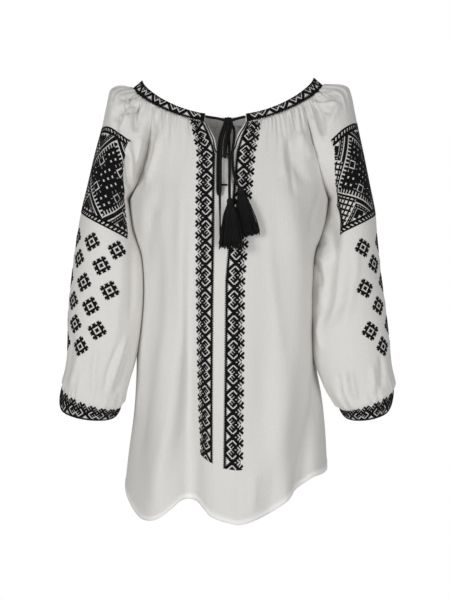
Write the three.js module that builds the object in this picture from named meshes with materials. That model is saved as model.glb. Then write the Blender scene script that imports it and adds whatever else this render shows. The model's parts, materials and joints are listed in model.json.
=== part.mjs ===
// A wide-necked peasant blouse of fine cotton, filled out as it is worn: raglan cut, gathered into a
// neckband, with a V and a slit at the centre front, full sleeves gathered into cuffs, and a tasselled tie.
// Millimetres, +Z up, front towards -Y. The origin lies midway between the two shoulder points of the neck.
// Levels run down the cloth: 0 at the neckband, 1 at the underarm, 2 at the hem or at the cuff.
import * as THREE from "three";

// Driving dimensions
const CLOTH = 1.2; // thickness of the cloth walls
const SEAM_GAP = 0.45;
const BAND_WIDTH = 15;
const BAND_THICKNESS = 2.6; // folded double over the gathers
const CUFF_THICKNESS = 2.4;
const NECK = {
  halfWidth: 139,
  shoulderZ: 5,
  frontY: 88,
  frontZ: -62,
  backY: 80,
  backZ: -44,
  lean: 0.016, // how much the band rises towards the right shoulder
};
const BAND_SLOPE = { shoulder: 43, middle: 62 }; // degrees below level at which the band lies
const BAND_ENDS = { left: 14.5, right: 11 }; // degrees from the centre front to each end of the band
const RAGLAN = { front: 52, back: 133 }; // degrees round the neck at which the raglan seams start
const UNDERARM_Z = -187;
const HEM_Z = { left: -638, right: -606 }; // at the side seams
const SLIT_X = -12; // the slit and the line between the embroidered strips below it
const SLIT_LEVEL = 1.12; // where the slit ends
const SLIT_HALF_GAP = 0.35;
const BINDING = { width: 2.6, thickness: 0.9, lift: 0.35 };
const SLIT_BAR = { from: -8.6, to: -0.6, z: -172, radius: 1, lift: 2.3 };
const CORD = { diameter: 3.8, sides: 8, step: 2.5 }; // step in diameters
const FRONT_COLUMNS = 13; // on each side of the slit
const BACK_COLUMNS = 20;
const SLEEVE_COLUMNS = 20;
const BAND_STEPS = 44;
const GATHER = { depth: 1.6, reach: 0.34, cuffDepth: 2.2, cuffReach: 0.13 };
const BAND_PULL = 0.35; // the level down to which the band's edge shapes the rows of cloth
const CUFF_STOP = 0.08; // how far the last row of a sleeve stops short of the cuff, as a share of a row
const SEAM_SHARE = 0.6; // what each side gives up of the gap at a seam

const NECK_LEVELS = [0, 0.1, 0.2, 0.3, 0.42, 0.55, 0.7, 0.85, 1];
const BODY_LEVELS = [1.06, 1.12, 1.2, 1.29, 1.38, 1.47, 1.56, 1.65, 1.74, 1.83, 1.92, 2];
const ARM_LEVELS = [1.12, 1.25, 1.38, 1.5, 1.61, 1.72, 1.81, 1.88, 1.94, 2];

// The raglan seams on the front and the back, and the crown line over the shoulder. wider and higher are what
// the right side (+X) has more; spread is the half angle that a row of the sleeve turns through.
const seam = table(
  ["level", "frontX", "frontY", "frontZ", "wider", "backX", "backY", "backZ"],
  [
    [0, 115.5, -62, -40, 0, 106.5, 62.5, -35],
    [0.1, 118, -66, -57, 2.5, 107, 72, -48],
    [0.2, 119.5, -69, -71, 4.5, 108, 78, -62],
    [0.3, 121, -70, -84, 6, 110, 82, -76],
    [0.42, 123, -71, -98, 7, 113, 84, -90],
    [0.55, 126, -69, -115, 9, 118, 82, -108],
    [0.7, 132, -62, -137, 10, 128, 72, -134],
    [0.85, 142, -44, -163, 8, 142, 42, -163],
    [1, 157, -14, UNDERARM_Z, 3, 157, -14, UNDERARM_Z],
  ],
);
const crown = table(
  ["level", "x", "y", "z", "wider", "higher", "spread", "depth"],
  [
    [0, 150, -3, -3, 0, 4, 62, 70],
    [0.1, 165, -3, -4.5, -1, 3.5, 68, 74],
    [0.2, 177, -3, -6.5, 2, 4, 75, 76],
    [0.3, 186.5, -4, -12, 5, 5, 84, 78],
    [0.42, 191, -5, -26, 6, 5, 95, 78],
    [0.55, 195.5, -6, -46, 6, 2, 108, 77],
    [0.7, 201, -8, -74, 6, 0, 128, 74],
    [0.85, 211, -11, -113, 4, 0, 153, 70],
    [1, 222, -14, -162, 2.5, 0, 180, 66],
  ],
);

// The centre lines of the front and the back, and the half angle that a row turns through.
const centre = table(
  ["level", "frontY", "frontZ", "backY", "backZ", "spread"],
  [
    [0, -95, -73.5, 87, -57, 55],
    [0.1, -99, -82, 92, -68, 57],
    [0.2, -103, -91, 97, -80, 59],
    [0.3, -107.5, -103, 101, -93, 61],
    [0.42, -113.5, -120, 105, -109, 63],
    [0.55, -117, -131, 108, -124, 66],
    [0.7, -121.5, -148, 110, -145, 71],
    [0.85, -125.5, -167, 111, -167, 79],
    [1, -129, -188, 110, -188, 90],
    [1.12, -134, -247, 105, -246, 90],
    [1.3, -132, -337, 98, -330, 90],
    [1.5, -127, -436, 104, -426, 90],
    [1.7, -125, -535, 112, -521, 90],
    [1.85, -126, -610, 117, -592, 90],
    [2, -128, -684, 121, -664, 90],
  ],
);

// The side seams below the underarm.
const side = table(
  ["level", "leftX", "rightX", "y"],
  [
    [1, -157, 160, -14],
    [1.085, -148, 149, -2],
    [1.19, -135.8, 137.8, 2],
    [1.31, -131.6, 132.2, 3],
    [1.42, -138, 134, 3],
    [1.52, -143, 135, 2],
    [1.62, -146, 140, 0],
    [1.75, -150, 149, -2],
    [1.88, -158, 155, -3],
    [2, -164, 158, -4],
  ],
);

// The sleeves below the underarm: the outer and the inner side of each ring, left sleeve and right sleeve.
// frontDrop is how much lower a ring hangs at its front.
const RING = [
  ...["level", "outerLeft", "outerRight", "outerZ", "innerLeft", "innerRight", "innerZ"],
  ...["y", "depth", "frontDrop"],
];
const arm = table(
  RING,
  [
    [1, -222, 224.5, -162, -157, 160, UNDERARM_Z, -14, 66, 0],
    [1.12, -232.5, 233, -208, -145, 146, -240, -20, 66, 0],
    [1.25, -239.7, 236, -255, -132, 133, -290, -28, 63, 0],
    [1.38, -246.3, 241.5, -310, -131.5, 131, -345, -33, 59, 1],
    [1.5, -251.3, 248.7, -365, -137, 131, -395, -35, 57, 2],
    [1.61, -252.1, 254.3, -415, -144.5, 135, -438, -35, 55, 4],
    [1.72, -254.8, 258, -453, -155, 147, -473, -33, 53, 8],
    [1.85, -259.5, 260.5, -474, -163, 161, -498, -30, 50, 12],
    [2, -260, 258.5, -489, -171, 179, -517, -28, 45, 14],
  ],
);

// The cuffs, from the gathers to the edge that turns in underneath.
const cuff = table(
  RING,
  [
    [2, -260, 258.5, -489, -171, 179, -517, -28, 45, 14],
    [2.4, -266, 258.5, -503, -172.5, 178.5, -522, -28, 46.5, 13],
    [2.8, -264, 255, -516, -177, 183, -528, -27, 43, 10],
    [3, -257, 248, -521, -183, 189, -530, -25, 37, 7],
  ],
);

// The largest folds: where each stands across the cloth at its top and at the hem, how wide it is, and how
// far it stands out (or in, when negative) at the hem.
const FRONT_FOLDS = folds([
  [1.08, -84, -124, 24, 13],
  [1.1, -60, -57, 19, -27],
  [1.25, -6, 18, 42, 8],
  [1.2, 55, 62, 18, -6],
  [1.04, 63, 92, 19, 8],
  [1.2, 90, 117, 20, -11],
  [1.45, 128, 140, 15, 5],
]);
const BACK_FOLDS = folds([
  [1.1, -88, -118, 24, 10],
  [1.15, -58, -72, 20, -12],
  [1.2, -20, -28, 30, 8],
  [1.15, 22, 24, 20, -11],
  [1.1, 58, 76, 24, 10],
  [1.25, 96, 116, 18, -8],
]);

// How much the hem is lifted off its even curve along the front, and how that dies out upwards.
const HEM_LIFT = { from: 1.3, power: 1.6 };
const hemLift = table(
  ["x", "lift"],
  [
    [-164, 0],
    [-152, -10],
    [-136, -17],
    [-118, -13],
    [-86, 5],
    [-58, 31],
    [-28, 14],
    [0, 3],
    [19, 0],
    [62, 9],
    [88, 18],
    [112, 27],
    [132, 29],
    [152, 12],
    [158, 0],
  ],
);

// The two edges of the V down to the slit.
const vEdges = table(
  ["z", "left", "right"],
  [
    [-260, SLIT_X - SLIT_HALF_GAP, SLIT_X + SLIT_HALF_GAP],
    [-131, SLIT_X - SLIT_HALF_GAP, SLIT_X + SLIT_HALF_GAP],
    [-120, -16.5, 4],
    [-103, -19.5, 10.5],
    [-91, -25, 16],
    [-82, -29.5, 22],
    [-73, -34, 27],
  ],
);

// The routes of the tie, by hand: out of the band's ends, the bow, and the two ends down to their tassels.
const KNOT = { at: [0, -104.5, -73.5], size: [8.4, 7.4, 6.4] };
const CORDS = {
  tie_left: [
    [-34.3, -88.3, -63.9], [-27, -92, -65.6], [-18, -97, -67.6], [-12, -100.8, -69.3], [-8.9, -102.9, -70.8],
  ],
  tie_right: [[25.2, -89.6, -64.4], [20.5, -92.8, -65.8], [14.5, -97.8, -68], [8.9, -102.9, -70.8]],
  bow_loop_long: [
    [-6.2, -104.6, -79.6], [-8.6, -108, -86], [-11.8, -112.5, -95],
    [-14.4, -116.4, -107], [-16.3, -120.2, -124],
    [-16.9, -124.8, -146], [-16.9, -129, -168], [-16.3, -131.2, -181],
    [-13.8, -131.9, -186.5], [-11.3, -131.4, -181],
    [-10.7, -129.2, -168], [-10.6, -125, -146], [-10.3, -120.6, -124],
    [-9.6, -117.4, -108], [-8, -113.6, -96],
    [-5.2, -110.4, -86.5], [-3.4, -108.4, -80.6],
  ],
  bow_loop_short: [
    [0.9, -109, -80.6], [-1.8, -111.6, -90], [-3.6, -114.6, -102],
    [-3.9, -118.4, -112], [-2.4, -122.4, -119.5],
    [1.2, -124.6, -122.5], [4.3, -120.8, -117.5], [4.9, -115.4, -106], [5.3, -111, -93], [5, -107.6, -80.4],
  ],
  tie_end_a: [
    [1.2, -102.4, -80.6], [1, -104, -92], [0.8, -107.6, -104], [0.9, -113.8, -114], [1.1, -119.8, -124.5],
    [1.3, -122.8, -135], [1.5, -127, -149], [1.6, -131.4, -162], [1.7, -139, -175], [1.8, -149, -186],
    [2.1, -154.3, -192.8],
  ],
  tie_end_b: [
    [6.1, -102.8, -79.4], [9.2, -105, -85], [10.8, -109, -94], [10.3, -113.6, -105], [8.6, -118.4, -116],
    [7.4, -122.2, -128], [7.8, -126.6, -143], [9.8, -131.6, -157],
    [13.6, -137.2, -168], [16.2, -140.5, -175.3],
  ],
};

// Tassels: the top of the head, the way each hangs, and the profile (radius at a distance from the top).
const TASSELS = {
  tassel_a: { top: [2.2, -154.5, -193.5], lean: [0.02, 0, -1], flat: 0.52 },
  tassel_b: { top: [16.9, -141, -176], lean: [0.24, 0, -1], flat: 0.46 },
};
const TASSEL_PROFILE = [
  [0.8, 0],
  [3.6, 1.2],
  [4.8, 4.5],
  [4.6, 8.5],
  [3.5, 11],
  [5.4, 14.5],
  [8.8, 26],
  [12.2, 50],
  [15, 76],
];
const TASSEL_SIDES = 14;

// Tables with named columns, read at any level through a smooth curve.
function table(names, rows) {
  const key = rows.map((row) => row[0]);
  const read = {};
  names.slice(1).forEach((name, n) => {
    const value = rows.map((row) => row[n + 1]);
    const slope = value.map((v, i) => {
      const a = Math.max(i - 1, 0);
      const b = Math.min(i + 1, key.length - 1);
      return (value[b] - value[a]) / (key[b] - key[a]);
    });
    read[name] = (at) => {
      let i = 0;
      while (i < key.length - 2 && at > key[i + 1]) i++;
      const h = key[i + 1] - key[i];
      const s = THREE.MathUtils.clamp((at - key[i]) / h, 0, 1);
      return (
        (1 + 2 * s) * (1 - s) ** 2 * value[i] +
        s * (1 - s) ** 2 * h * slope[i] +
        s * s * (3 - 2 * s) * value[i + 1] +
        s * s * (s - 1) * h * slope[i + 1]
      );
    };
  });
  return read;
}

// How far a set of folds moves the cloth out at a place across it and a level down it.
function folds(rows) {
  return (x, level) =>
    rows.reduce((sum, [from, topX, hemX, width, out]) => {
      const down = THREE.MathUtils.clamp((level - from) / (2 - from), 0, 1);
      const across = (x - THREE.MathUtils.lerp(topX, hemX, down)) / width;
      return sum + out * down ** 0.8 * Math.exp(-across * across);
    }, 0);
}

const radians = THREE.MathUtils.degToRad;

// A point of the neckband's slanting face: angle 0 at the centre front, 90 at the right shoulder, 180 at the
// back; down is the distance below the band's upper edge.
function neckPoint(angle, down) {
  const a = radians(angle);
  const front = Math.cos(a) > 0;
  const depth = front ? NECK.frontY : NECK.backY;
  const low = front ? NECK.frontZ : NECK.backZ;
  const rise = 0.5 * (1 - Math.abs(Math.cos(a)) + Math.sin(a) ** 2);
  const out = new THREE.Vector3(Math.sin(a) / NECK.halfWidth, -Math.cos(a) / depth, 0).normalize();
  const slope = radians(
    THREE.MathUtils.lerp(BAND_SLOPE.shoulder, BAND_SLOPE.middle, Math.cos(a) ** 2),
  );
  const x = NECK.halfWidth * Math.sin(a);
  const edge = new THREE.Vector3(
    x,
    -depth * Math.cos(a),
    low + (NECK.shoulderZ - low) * rise + NECK.lean * x,
  );
  return edge
    .addScaledVector(out, down * Math.cos(slope))
    .add(new THREE.Vector3(0, 0, -down * Math.sin(slope)));
}

// The outward normal of that face.
function neckNormal(angle) {
  const along = neckPoint(angle + 1, 0).sub(neckPoint(angle - 1, 0));
  const down = neckPoint(angle, 1).sub(neckPoint(angle, 0));
  return down.cross(along).normalize();
}

// A row of cloth between two ends, bulging through its middle: turn runs from -spread to +spread.
function rowPoint(turn, spread, from, to, middle, bulge) {
  const s = radians(spread);
  const t = radians(turn);
  const c = (1 - Math.cos(t)) / (1 - Math.cos(s));
  return new THREE.Vector3()
    .copy(middle)
    .lerp(turn < 0 ? from : to, c)
    .addScaledVector(bulge, Math.sin(t) - Math.sign(turn) * Math.sin(s) * c);
}

// What moves a row near the neckband so that the topmost row lies on the band's lower edge.
function ontoBand(point, level, angle, atTop) {
  const fade = Math.max(0, 1 - level / BAND_PULL) ** 2;
  if (fade > 0) {
    point.addScaledVector(neckPoint(angle, BAND_WIDTH + 1.5 * SEAM_GAP).sub(atTop), fade);
  }
  return point;
}

function raglanEnd(level, dir, back) {
  const part = back ? "back" : "front";
  const wider = dir > 0 ? seam.wider(level) : 0;
  const x = dir * (seam[part + "X"](level) + wider);
  return new THREE.Vector3(x, seam[part + "Y"](level), seam[part + "Z"](level));
}

function sideEnd(level, dir) {
  const hem = dir < 0 ? HEM_Z.left : HEM_Z.right;
  const x = dir < 0 ? side.leftX(level) : side.rightX(level);
  return new THREE.Vector3(x, side.y(level), THREE.MathUtils.lerp(UNDERARM_Z, hem, level - 1));
}

// A row of the front or of the back: its point at each turn, with the folds and the uneven hem.
function panelRow(level, back) {
  const facing = back ? 1 : -1;
  const name = back ? "back" : "front";
  const end = (dir) => (level < 1 ? raglanEnd(level, dir, back) : sideEnd(level, dir));
  const ends = [end(-1), end(1)];
  const middleAt = new THREE.Vector3(0, centre[name + "Y"](level), centre[name + "Z"](level));
  const spread = centre.spread(Math.min(level, 1));
  const sine = Math.sin(radians(spread));
  return (turn) => {
    const s = Math.sin(radians(turn)) / sine;
    const c = (1 - Math.cos(radians(turn))) / (1 - Math.cos(radians(spread)));
    const to = ends[turn < 0 ? 0 : 1];
    const p = new THREE.Vector3(Math.abs(s) * to.x, 0, 0);
    p.y = middleAt.y + (to.y - middleAt.y) * c;
    p.z = middleAt.z + (to.z - middleAt.z) * c;
    if (level > 1) {
      const turned = Math.cos(radians(turn)) ** 0.7; // folds die out towards the side seams
      p.y += facing * (back ? BACK_FOLDS : FRONT_FOLDS)(p.x, level) * turned;
      const low = Math.max(0, (level - HEM_LIFT.from) / (2 - HEM_LIFT.from)) ** HEM_LIFT.power;
      if (!back) p.z += hemLift.lift(p.x) * low;
    }
    return p;
  };
}

// A point of the front or the back; across runs from -1 at the left seam to 1 at the right seam.
function panelPoint(level, across, back) {
  const spread = centre.spread(Math.min(level, 1));
  const raglan = back ? 180 - RAGLAN.back : RAGLAN.front;
  const turn = across * spread;
  const p = panelRow(level, back)(turn);
  const angle = back ? 180 - across * raglan : across * raglan;
  return ontoBand(p, level, angle, panelRow(0, back)(across * centre.spread(0)));
}

// A front point at a given x, for the edges of the V and of the slit.
function frontAcross(level, x) {
  let low = -1;
  let high = 1;
  for (let i = 0; i < 40; i++) {
    const mid = (low + high) / 2;
    if (panelPoint(level, mid, false).x < x) low = mid;
    else high = mid;
  }
  return (low + high) / 2;
}

// The crown of a sleeve's row, over the shoulder.
function crownPoint(level, dir) {
  const wider = dir > 0 ? crown.wider(level) : 0;
  const higher = dir > 0 ? crown.higher(level) : 0;
  return new THREE.Vector3(dir * (crown.x(level) + wider), crown.y(level), crown.z(level) + higher);
}

// A sleeve. dir is -1 for the left sleeve; share runs from 0 at the front seam to 1 at the back seam, and
// below the underarm once round.
function sleevePoint(level, share, dir) {
  if (level > 1) return ringPoint(arm, level, share * 360 - 180, dir);
  const row = (at) => {
    const width = crown.spread(at);
    const bulge = new THREE.Vector3(0, crown.depth(at), 0);
    const turn = (share * 2 - 1) * width;
    const from = raglanEnd(at, dir, false);
    const to = raglanEnd(at, dir, true);
    return rowPoint(turn, width, from, to, crownPoint(at, dir), bulge);
  };
  const angle = dir * THREE.MathUtils.lerp(RAGLAN.front, RAGLAN.back, share);
  return ontoBand(row(level), level, angle, row(0));
}

// A ring round the arm, from its inner side over the front, the outer side and the back.
function ringPoint(rings, level, turn, dir) {
  const part = dir < 0 ? "Left" : "Right";
  const outer = new THREE.Vector3(rings["outer" + part](level), rings.y(level), rings.outerZ(level));
  const inner = new THREE.Vector3(rings["inner" + part](level), rings.y(level), rings.innerZ(level));
  const t = radians(turn);
  const p = outer.lerp(inner, (1 - Math.cos(t)) / 2);
  p.y += rings.depth(level) * Math.sin(t);
  p.z += rings.frontDrop(level) * Math.min(0, Math.sin(t));
  return p;
}

// Gathers: neighbouring columns stand out and in by turns, less and less away from the seam. The outermost
// columns stay where they are, and so do those beside an opening.
function gather(grid, depthAt, opening = -9) {
  grid.forEach((row, i) =>
    row.forEach((p, j) => {
      const last = row.length - 1;
      const still = j === 0 || j === last || Math.abs(j - opening) < 2;
      const depth = still ? 0 : depthAt(i) * (j % 2 ? 1 : -1);
      if (!depth) return;
      const along = row[Math.min(j + 1, last)].clone().sub(row[Math.max(j - 1, 0)]);
      const down = grid[Math.min(i + 1, grid.length - 1)][j].clone().sub(grid[Math.max(i - 1, 0)][j]);
      p.out = down.cross(along).normalize().multiplyScalar(depth);
    }),
  );
  grid.flat().forEach((p) => p.out && p.add(p.out));
  return grid;
}

function neckGather(level) {
  return level > 0 ? GATHER.depth * Math.max(0, 1 - level / GATHER.reach) : 0;
}

function cuffGather(level) {
  return GATHER.cuffDepth * Math.max(0, 1 - (2 - level) / GATHER.cuffReach);
}

// The outer face of the front. Its two middle columns are the edges of the V and of the slit, and below the
// slit they are one.
function frontGrid() {
  const levels = [...NECK_LEVELS, ...BODY_LEVELS];
  const grid = levels.map((level) => {
    const z = centre.frontZ(level);
    const open = level <= SLIT_LEVEL;
    const left = frontAcross(level, open ? vEdges.left(z) : SLIT_X);
    const right = open ? frontAcross(level, vEdges.right(z)) : left;
    const row = [];
    for (let j = 0; j <= FRONT_COLUMNS; j++) {
      row.push(panelPoint(level, THREE.MathUtils.lerp(-1, left, j / FRONT_COLUMNS), false));
    }
    const joined = level > SLIT_LEVEL - 0.001 ? row[FRONT_COLUMNS] : null;
    row.push(joined ?? panelPoint(level, right, false));
    for (let j = 1; j <= FRONT_COLUMNS; j++) {
      row.push(panelPoint(level, THREE.MathUtils.lerp(right, 1, j / FRONT_COLUMNS), false));
    }
    return row;
  });
  const isSlit = (j) => j === FRONT_COLUMNS;
  return { grid: gather(grid, (i) => neckGather(levels[i]), FRONT_COLUMNS + 0.5), skip: isSlit };
}

function backGrid() {
  const levels = [...NECK_LEVELS, ...BODY_LEVELS];
  const grid = levels.map((level) =>
    Array.from({ length: BACK_COLUMNS + 1 }, (_, j) => panelPoint(level, 1 - (2 * j) / BACK_COLUMNS, true)),
  );
  return { grid: gather(grid, (i) => neckGather(levels[i])) };
}

function sleeveGrid(dir) {
  const levels = [...NECK_LEVELS, ...ARM_LEVELS];
  const grid = levels.map((level) => {
    const row = Array.from({ length: SLEEVE_COLUMNS + 1 }, (_, j) =>
      sleevePoint(level, j / SLEEVE_COLUMNS, dir),
    );
    if (level >= 1) row[SLEEVE_COLUMNS] = row[0];
    return row;
  });
  gather(grid, (i) => (levels[i] < 1 ? neckGather(levels[i]) : cuffGather(levels[i])));
  const edge = grid.at(-1);
  edge.slice(0, -1).forEach((p, j) => p.lerp(grid.at(-2)[j], CUFF_STOP));
  return { grid: dir < 0 ? grid.map((row) => [...row].reverse()) : grid };
}

function cuffGrid(dir) {
  const grid = [2, 2.2, 2.4, 2.6, 2.8, 2.9, 3].map((level) => {
    const row = Array.from({ length: SLEEVE_COLUMNS + 1 }, (_, j) =>
      ringPoint(cuff, level, (j / SLEEVE_COLUMNS) * 360 - 180, dir),
    );
    row[SLEEVE_COLUMNS] = row[0];
    return row;
  });
  return { grid: dir < 0 ? grid.map((row) => [...row].reverse()) : grid };
}

// Where two pieces of cloth meet, their walls share one direction, so that the seam stays even.
const meeting = new Map();
const place = (p) => [p.x, p.y, p.z].map((v) => v.toFixed(2)).join();

// The triangles of a grid of points, and each point's outward direction.
function faceOf({ grid, skip }) {
  const points = [];
  const index = new Map();
  const id = (p) => {
    if (!index.has(p)) {
      index.set(p, points.length);
      points.push(p);
    }
    return index.get(p);
  };
  const triangles = [];
  for (let i = 0; i + 1 < grid.length; i++) {
    for (let j = 0; j + 1 < grid[i].length; j++) {
      if (skip?.(j)) continue;
      const [a, b, c, d] = [grid[i][j], grid[i + 1][j], grid[i + 1][j + 1], grid[i][j + 1]].map(id);
      if ((i + j) % 2) triangles.push([a, b, c], [a, c, d]);
      else triangles.push([a, b, d], [b, c, d]);
    }
  }
  const normals = points.map(() => new THREE.Vector3());
  for (const [a, b, c] of triangles) {
    const n = points[b].clone().sub(points[a]).cross(points[c].clone().sub(points[a]));
    [a, b, c].forEach((v) => normals[v].add(n));
  }
  normals.forEach((n, v) => {
    n.normalize();
    const key = place(points[v]);
    if (!meeting.has(key)) meeting.set(key, new THREE.Vector3());
    meeting.get(key).add(n);
  });
  return { points, triangles, normals, grid };
}

// A wall of cloth: the face gets its thickness inwards, and its ends draw back from the seams.
function wall(face, thickness) {
  const { points, triangles, normals, grid } = face;
  const outward = normals.map((n, v) => {
    const shared = meeting.get(place(points[v])).clone().normalize();
    return shared.dot(n) > 0.6 ? shared : n;
  });
  const inset = new Map();
  const pull = (p, towards) => {
    if (p !== towards) {
      const step = towards.clone().sub(p).setLength(SEAM_SHARE * SEAM_GAP);
      inset.set(p, (inset.get(p) ?? new THREE.Vector3()).add(step));
    }
  };
  grid.forEach((row) => {
    if (row[0] === row.at(-1)) return;
    pull(row[0], row[1]);
    pull(row.at(-1), row.at(-2));
  });
  const outer = points.map((p) => p.clone().add(inset.get(p) ?? new THREE.Vector3()));
  const inner = outer.map((p, v) => p.clone().addScaledVector(outward[v], -thickness));
  const count = points.length;
  const faces = triangles.flatMap(([a, b, c]) => [
    [a, b, c],
    [a + count, c + count, b + count],
  ]);
  const used = new Set(triangles.flatMap(([a, b, c]) => [`${a}_${b}`, `${b}_${c}`, `${c}_${a}`]));
  for (const edge of used) {
    const [a, b] = edge.split("_").map(Number);
    if (used.has(`${b}_${a}`)) continue;
    faces.push([b, a, a + count], [b, a + count, b + count]);
  }
  return solid([...outer, ...inner], faces);
}

function solid(points, faces) {
  const geometry = new THREE.BufferGeometry();
  geometry.setAttribute("position", new THREE.Float32BufferAttribute(points.flatMap((p) => p.toArray()), 3));
  geometry.setIndex(faces.flat());
  geometry.computeVertexNormals();
  return geometry;
}

// A closed body swept through sections of equal length; closed in a ring when ring is set.
function sweep(sections, ring = false) {
  const n = sections[0].length;
  const faces = [];
  const spans = ring ? sections.length : sections.length - 1;
  for (let i = 0; i < spans; i++) {
    const next = ((i + 1) % sections.length) * n;
    for (let k = 0; k < n; k++) {
      const m = (k + 1) % n;
      faces.push([i * n + k, i * n + m, next + m], [i * n + k, next + m, next + k]);
    }
  }
  if (!ring) {
    const last = (sections.length - 1) * n;
    for (let k = 1; k + 1 < n; k++) faces.push([0, k + 1, k], [last, last + k, last + k + 1]);
  }
  return solid(sections.flat(), faces);
}

function neckband() {
  const from = BAND_ENDS.right;
  const to = 360 - BAND_ENDS.left;
  const proud = (BAND_THICKNESS - CLOTH) / 2;
  const deep = proud - BAND_THICKNESS;
  const sections = Array.from({ length: BAND_STEPS + 1 }, (_, i) => {
    const angle = THREE.MathUtils.lerp(from, to, i / BAND_STEPS);
    const out = neckNormal(angle);
    const at = (down, lift) => neckPoint(angle, down).addScaledVector(out, lift);
    return [at(0, proud), at(BAND_WIDTH, proud), at(BAND_WIDTH, deep), at(0, deep)];
  });
  return sweep(sections);
}

// The narrow binding of the V and the slit: a flat strip proud of the cloth along each edge, joined round the
// slit's lower end.
function slitBinding() {
  const levels = [0.02, 0.1, 0.2, 0.3, 0.36, 0.42, 0.48, 0.55, 0.7, 0.85, 1, 1.06, SLIT_LEVEL];
  const low = BINDING.lift;
  const high = BINDING.lift + BINDING.thickness;
  const stripPoint = (level, x, up) => {
    const across = frontAcross(level, x);
    const p = panelPoint(level, across, false);
    const along = panelPoint(level, across + 0.01, false).sub(p);
    const down = panelPoint(level + 0.01, across, false).sub(p);
    return p.addScaledVector(down.cross(along).normalize(), up);
  };
  const section = (level, edge, width) => [
    stripPoint(level, edge, low),
    stripPoint(level, edge, high),
    stripPoint(level, edge + width, high),
    stripPoint(level, edge + width, low),
  ];
  const left = levels.map((level) => section(level, vEdges.left(centre.frontZ(level)), -BINDING.width));
  const right = levels.map((level) => section(level, vEdges.right(centre.frontZ(level)), BINDING.width));
  return sweep([...left, ...right.reverse()]);
}

function cord(points) {
  const curve = new THREE.CatmullRomCurve3(points.map((p) => new THREE.Vector3(...p)));
  const corner = (k) => {
    const a = (k * 2 * Math.PI) / CORD.sides;
    return new THREE.Vector2(Math.cos(a), Math.sin(a)).multiplyScalar(CORD.diameter / 2);
  };
  const section = new THREE.Shape(Array.from({ length: CORD.sides }, (_, k) => corner(k)));
  const steps = Math.max(4, Math.round(curve.getLength() / (CORD.step * CORD.diameter)));
  return new THREE.ExtrudeGeometry(section, { steps, extrudePath: curve, bevelEnabled: false });
}

function knot() {
  const geometry = new THREE.IcosahedronGeometry(1, 1);
  geometry.scale(...KNOT.size);
  return geometry.translate(...KNOT.at);
}

function tassel({ top, lean, flat }) {
  const profile = [[0, 0], ...TASSEL_PROFILE, [0, TASSEL_PROFILE.at(-1)[1]]];
  const geometry = new THREE.LatheGeometry(
    profile.map(([r, down]) => new THREE.Vector2(r, -down)).reverse(),
    TASSEL_SIDES,
  );
  geometry.rotateX(Math.PI / 2).scale(1, flat, 1);
  const down = new THREE.Vector3(...lean).normalize();
  geometry.applyQuaternion(new THREE.Quaternion().setFromUnitVectors(new THREE.Vector3(0, 0, -1), down));
  return geometry.translate(...top);
}

// The bar of stitches across the slit.
function slitBar() {
  const y = centre.frontY(1) - SLIT_BAR.lift;
  const end = (x) => new THREE.Vector3(x, y, SLIT_BAR.z);
  const curve = new THREE.LineCurve3(end(SLIT_BAR.from), end(SLIT_BAR.to));
  const r = SLIT_BAR.radius;
  const corners = [[r, 0], [0, r], [-r, 0], [0, -r]].map(([a, b]) => new THREE.Vector2(a, b));
  const section = new THREE.Shape(corners);
  return new THREE.ExtrudeGeometry(section, { steps: 2, extrudePath: curve, bevelEnabled: false });
}

const cotton = new THREE.MeshStandardMaterial({ color: 0xdedcd8, roughness: 0.9, metalness: 0 });
const stitched = new THREE.MeshStandardMaterial({ color: 0x1c1b1d, roughness: 0.8, metalness: 0 });
const blouse = new THREE.Group();

function add(name, geometry, material) {
  const mesh = new THREE.Mesh(geometry, material);
  mesh.name = name;
  blouse.add(mesh);
}

const faces = {
  front: faceOf(frontGrid()),
  back: faceOf(backGrid()),
  sleeve_left: faceOf(sleeveGrid(-1)),
  sleeve_right: faceOf(sleeveGrid(1)),
};
for (const [name, face] of Object.entries(faces)) add(name, wall(face, CLOTH), cotton);
add("neckband", neckband(), stitched);
add("cuff_left", wall(faceOf(cuffGrid(-1)), CUFF_THICKNESS), stitched);
add("cuff_right", wall(faceOf(cuffGrid(1)), CUFF_THICKNESS), stitched);
add("slit_binding", slitBinding(), cotton);
for (const [name, points] of Object.entries(CORDS)) add(name, cord(points), stitched);
add("bow_knot", knot(), stitched);
for (const [name, sizes] of Object.entries(TASSELS)) add(name, tassel(sizes), stitched);
add("slit_bar", slitBar(), stitched);

export default blouse;
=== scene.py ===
import json
import math
import random

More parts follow.
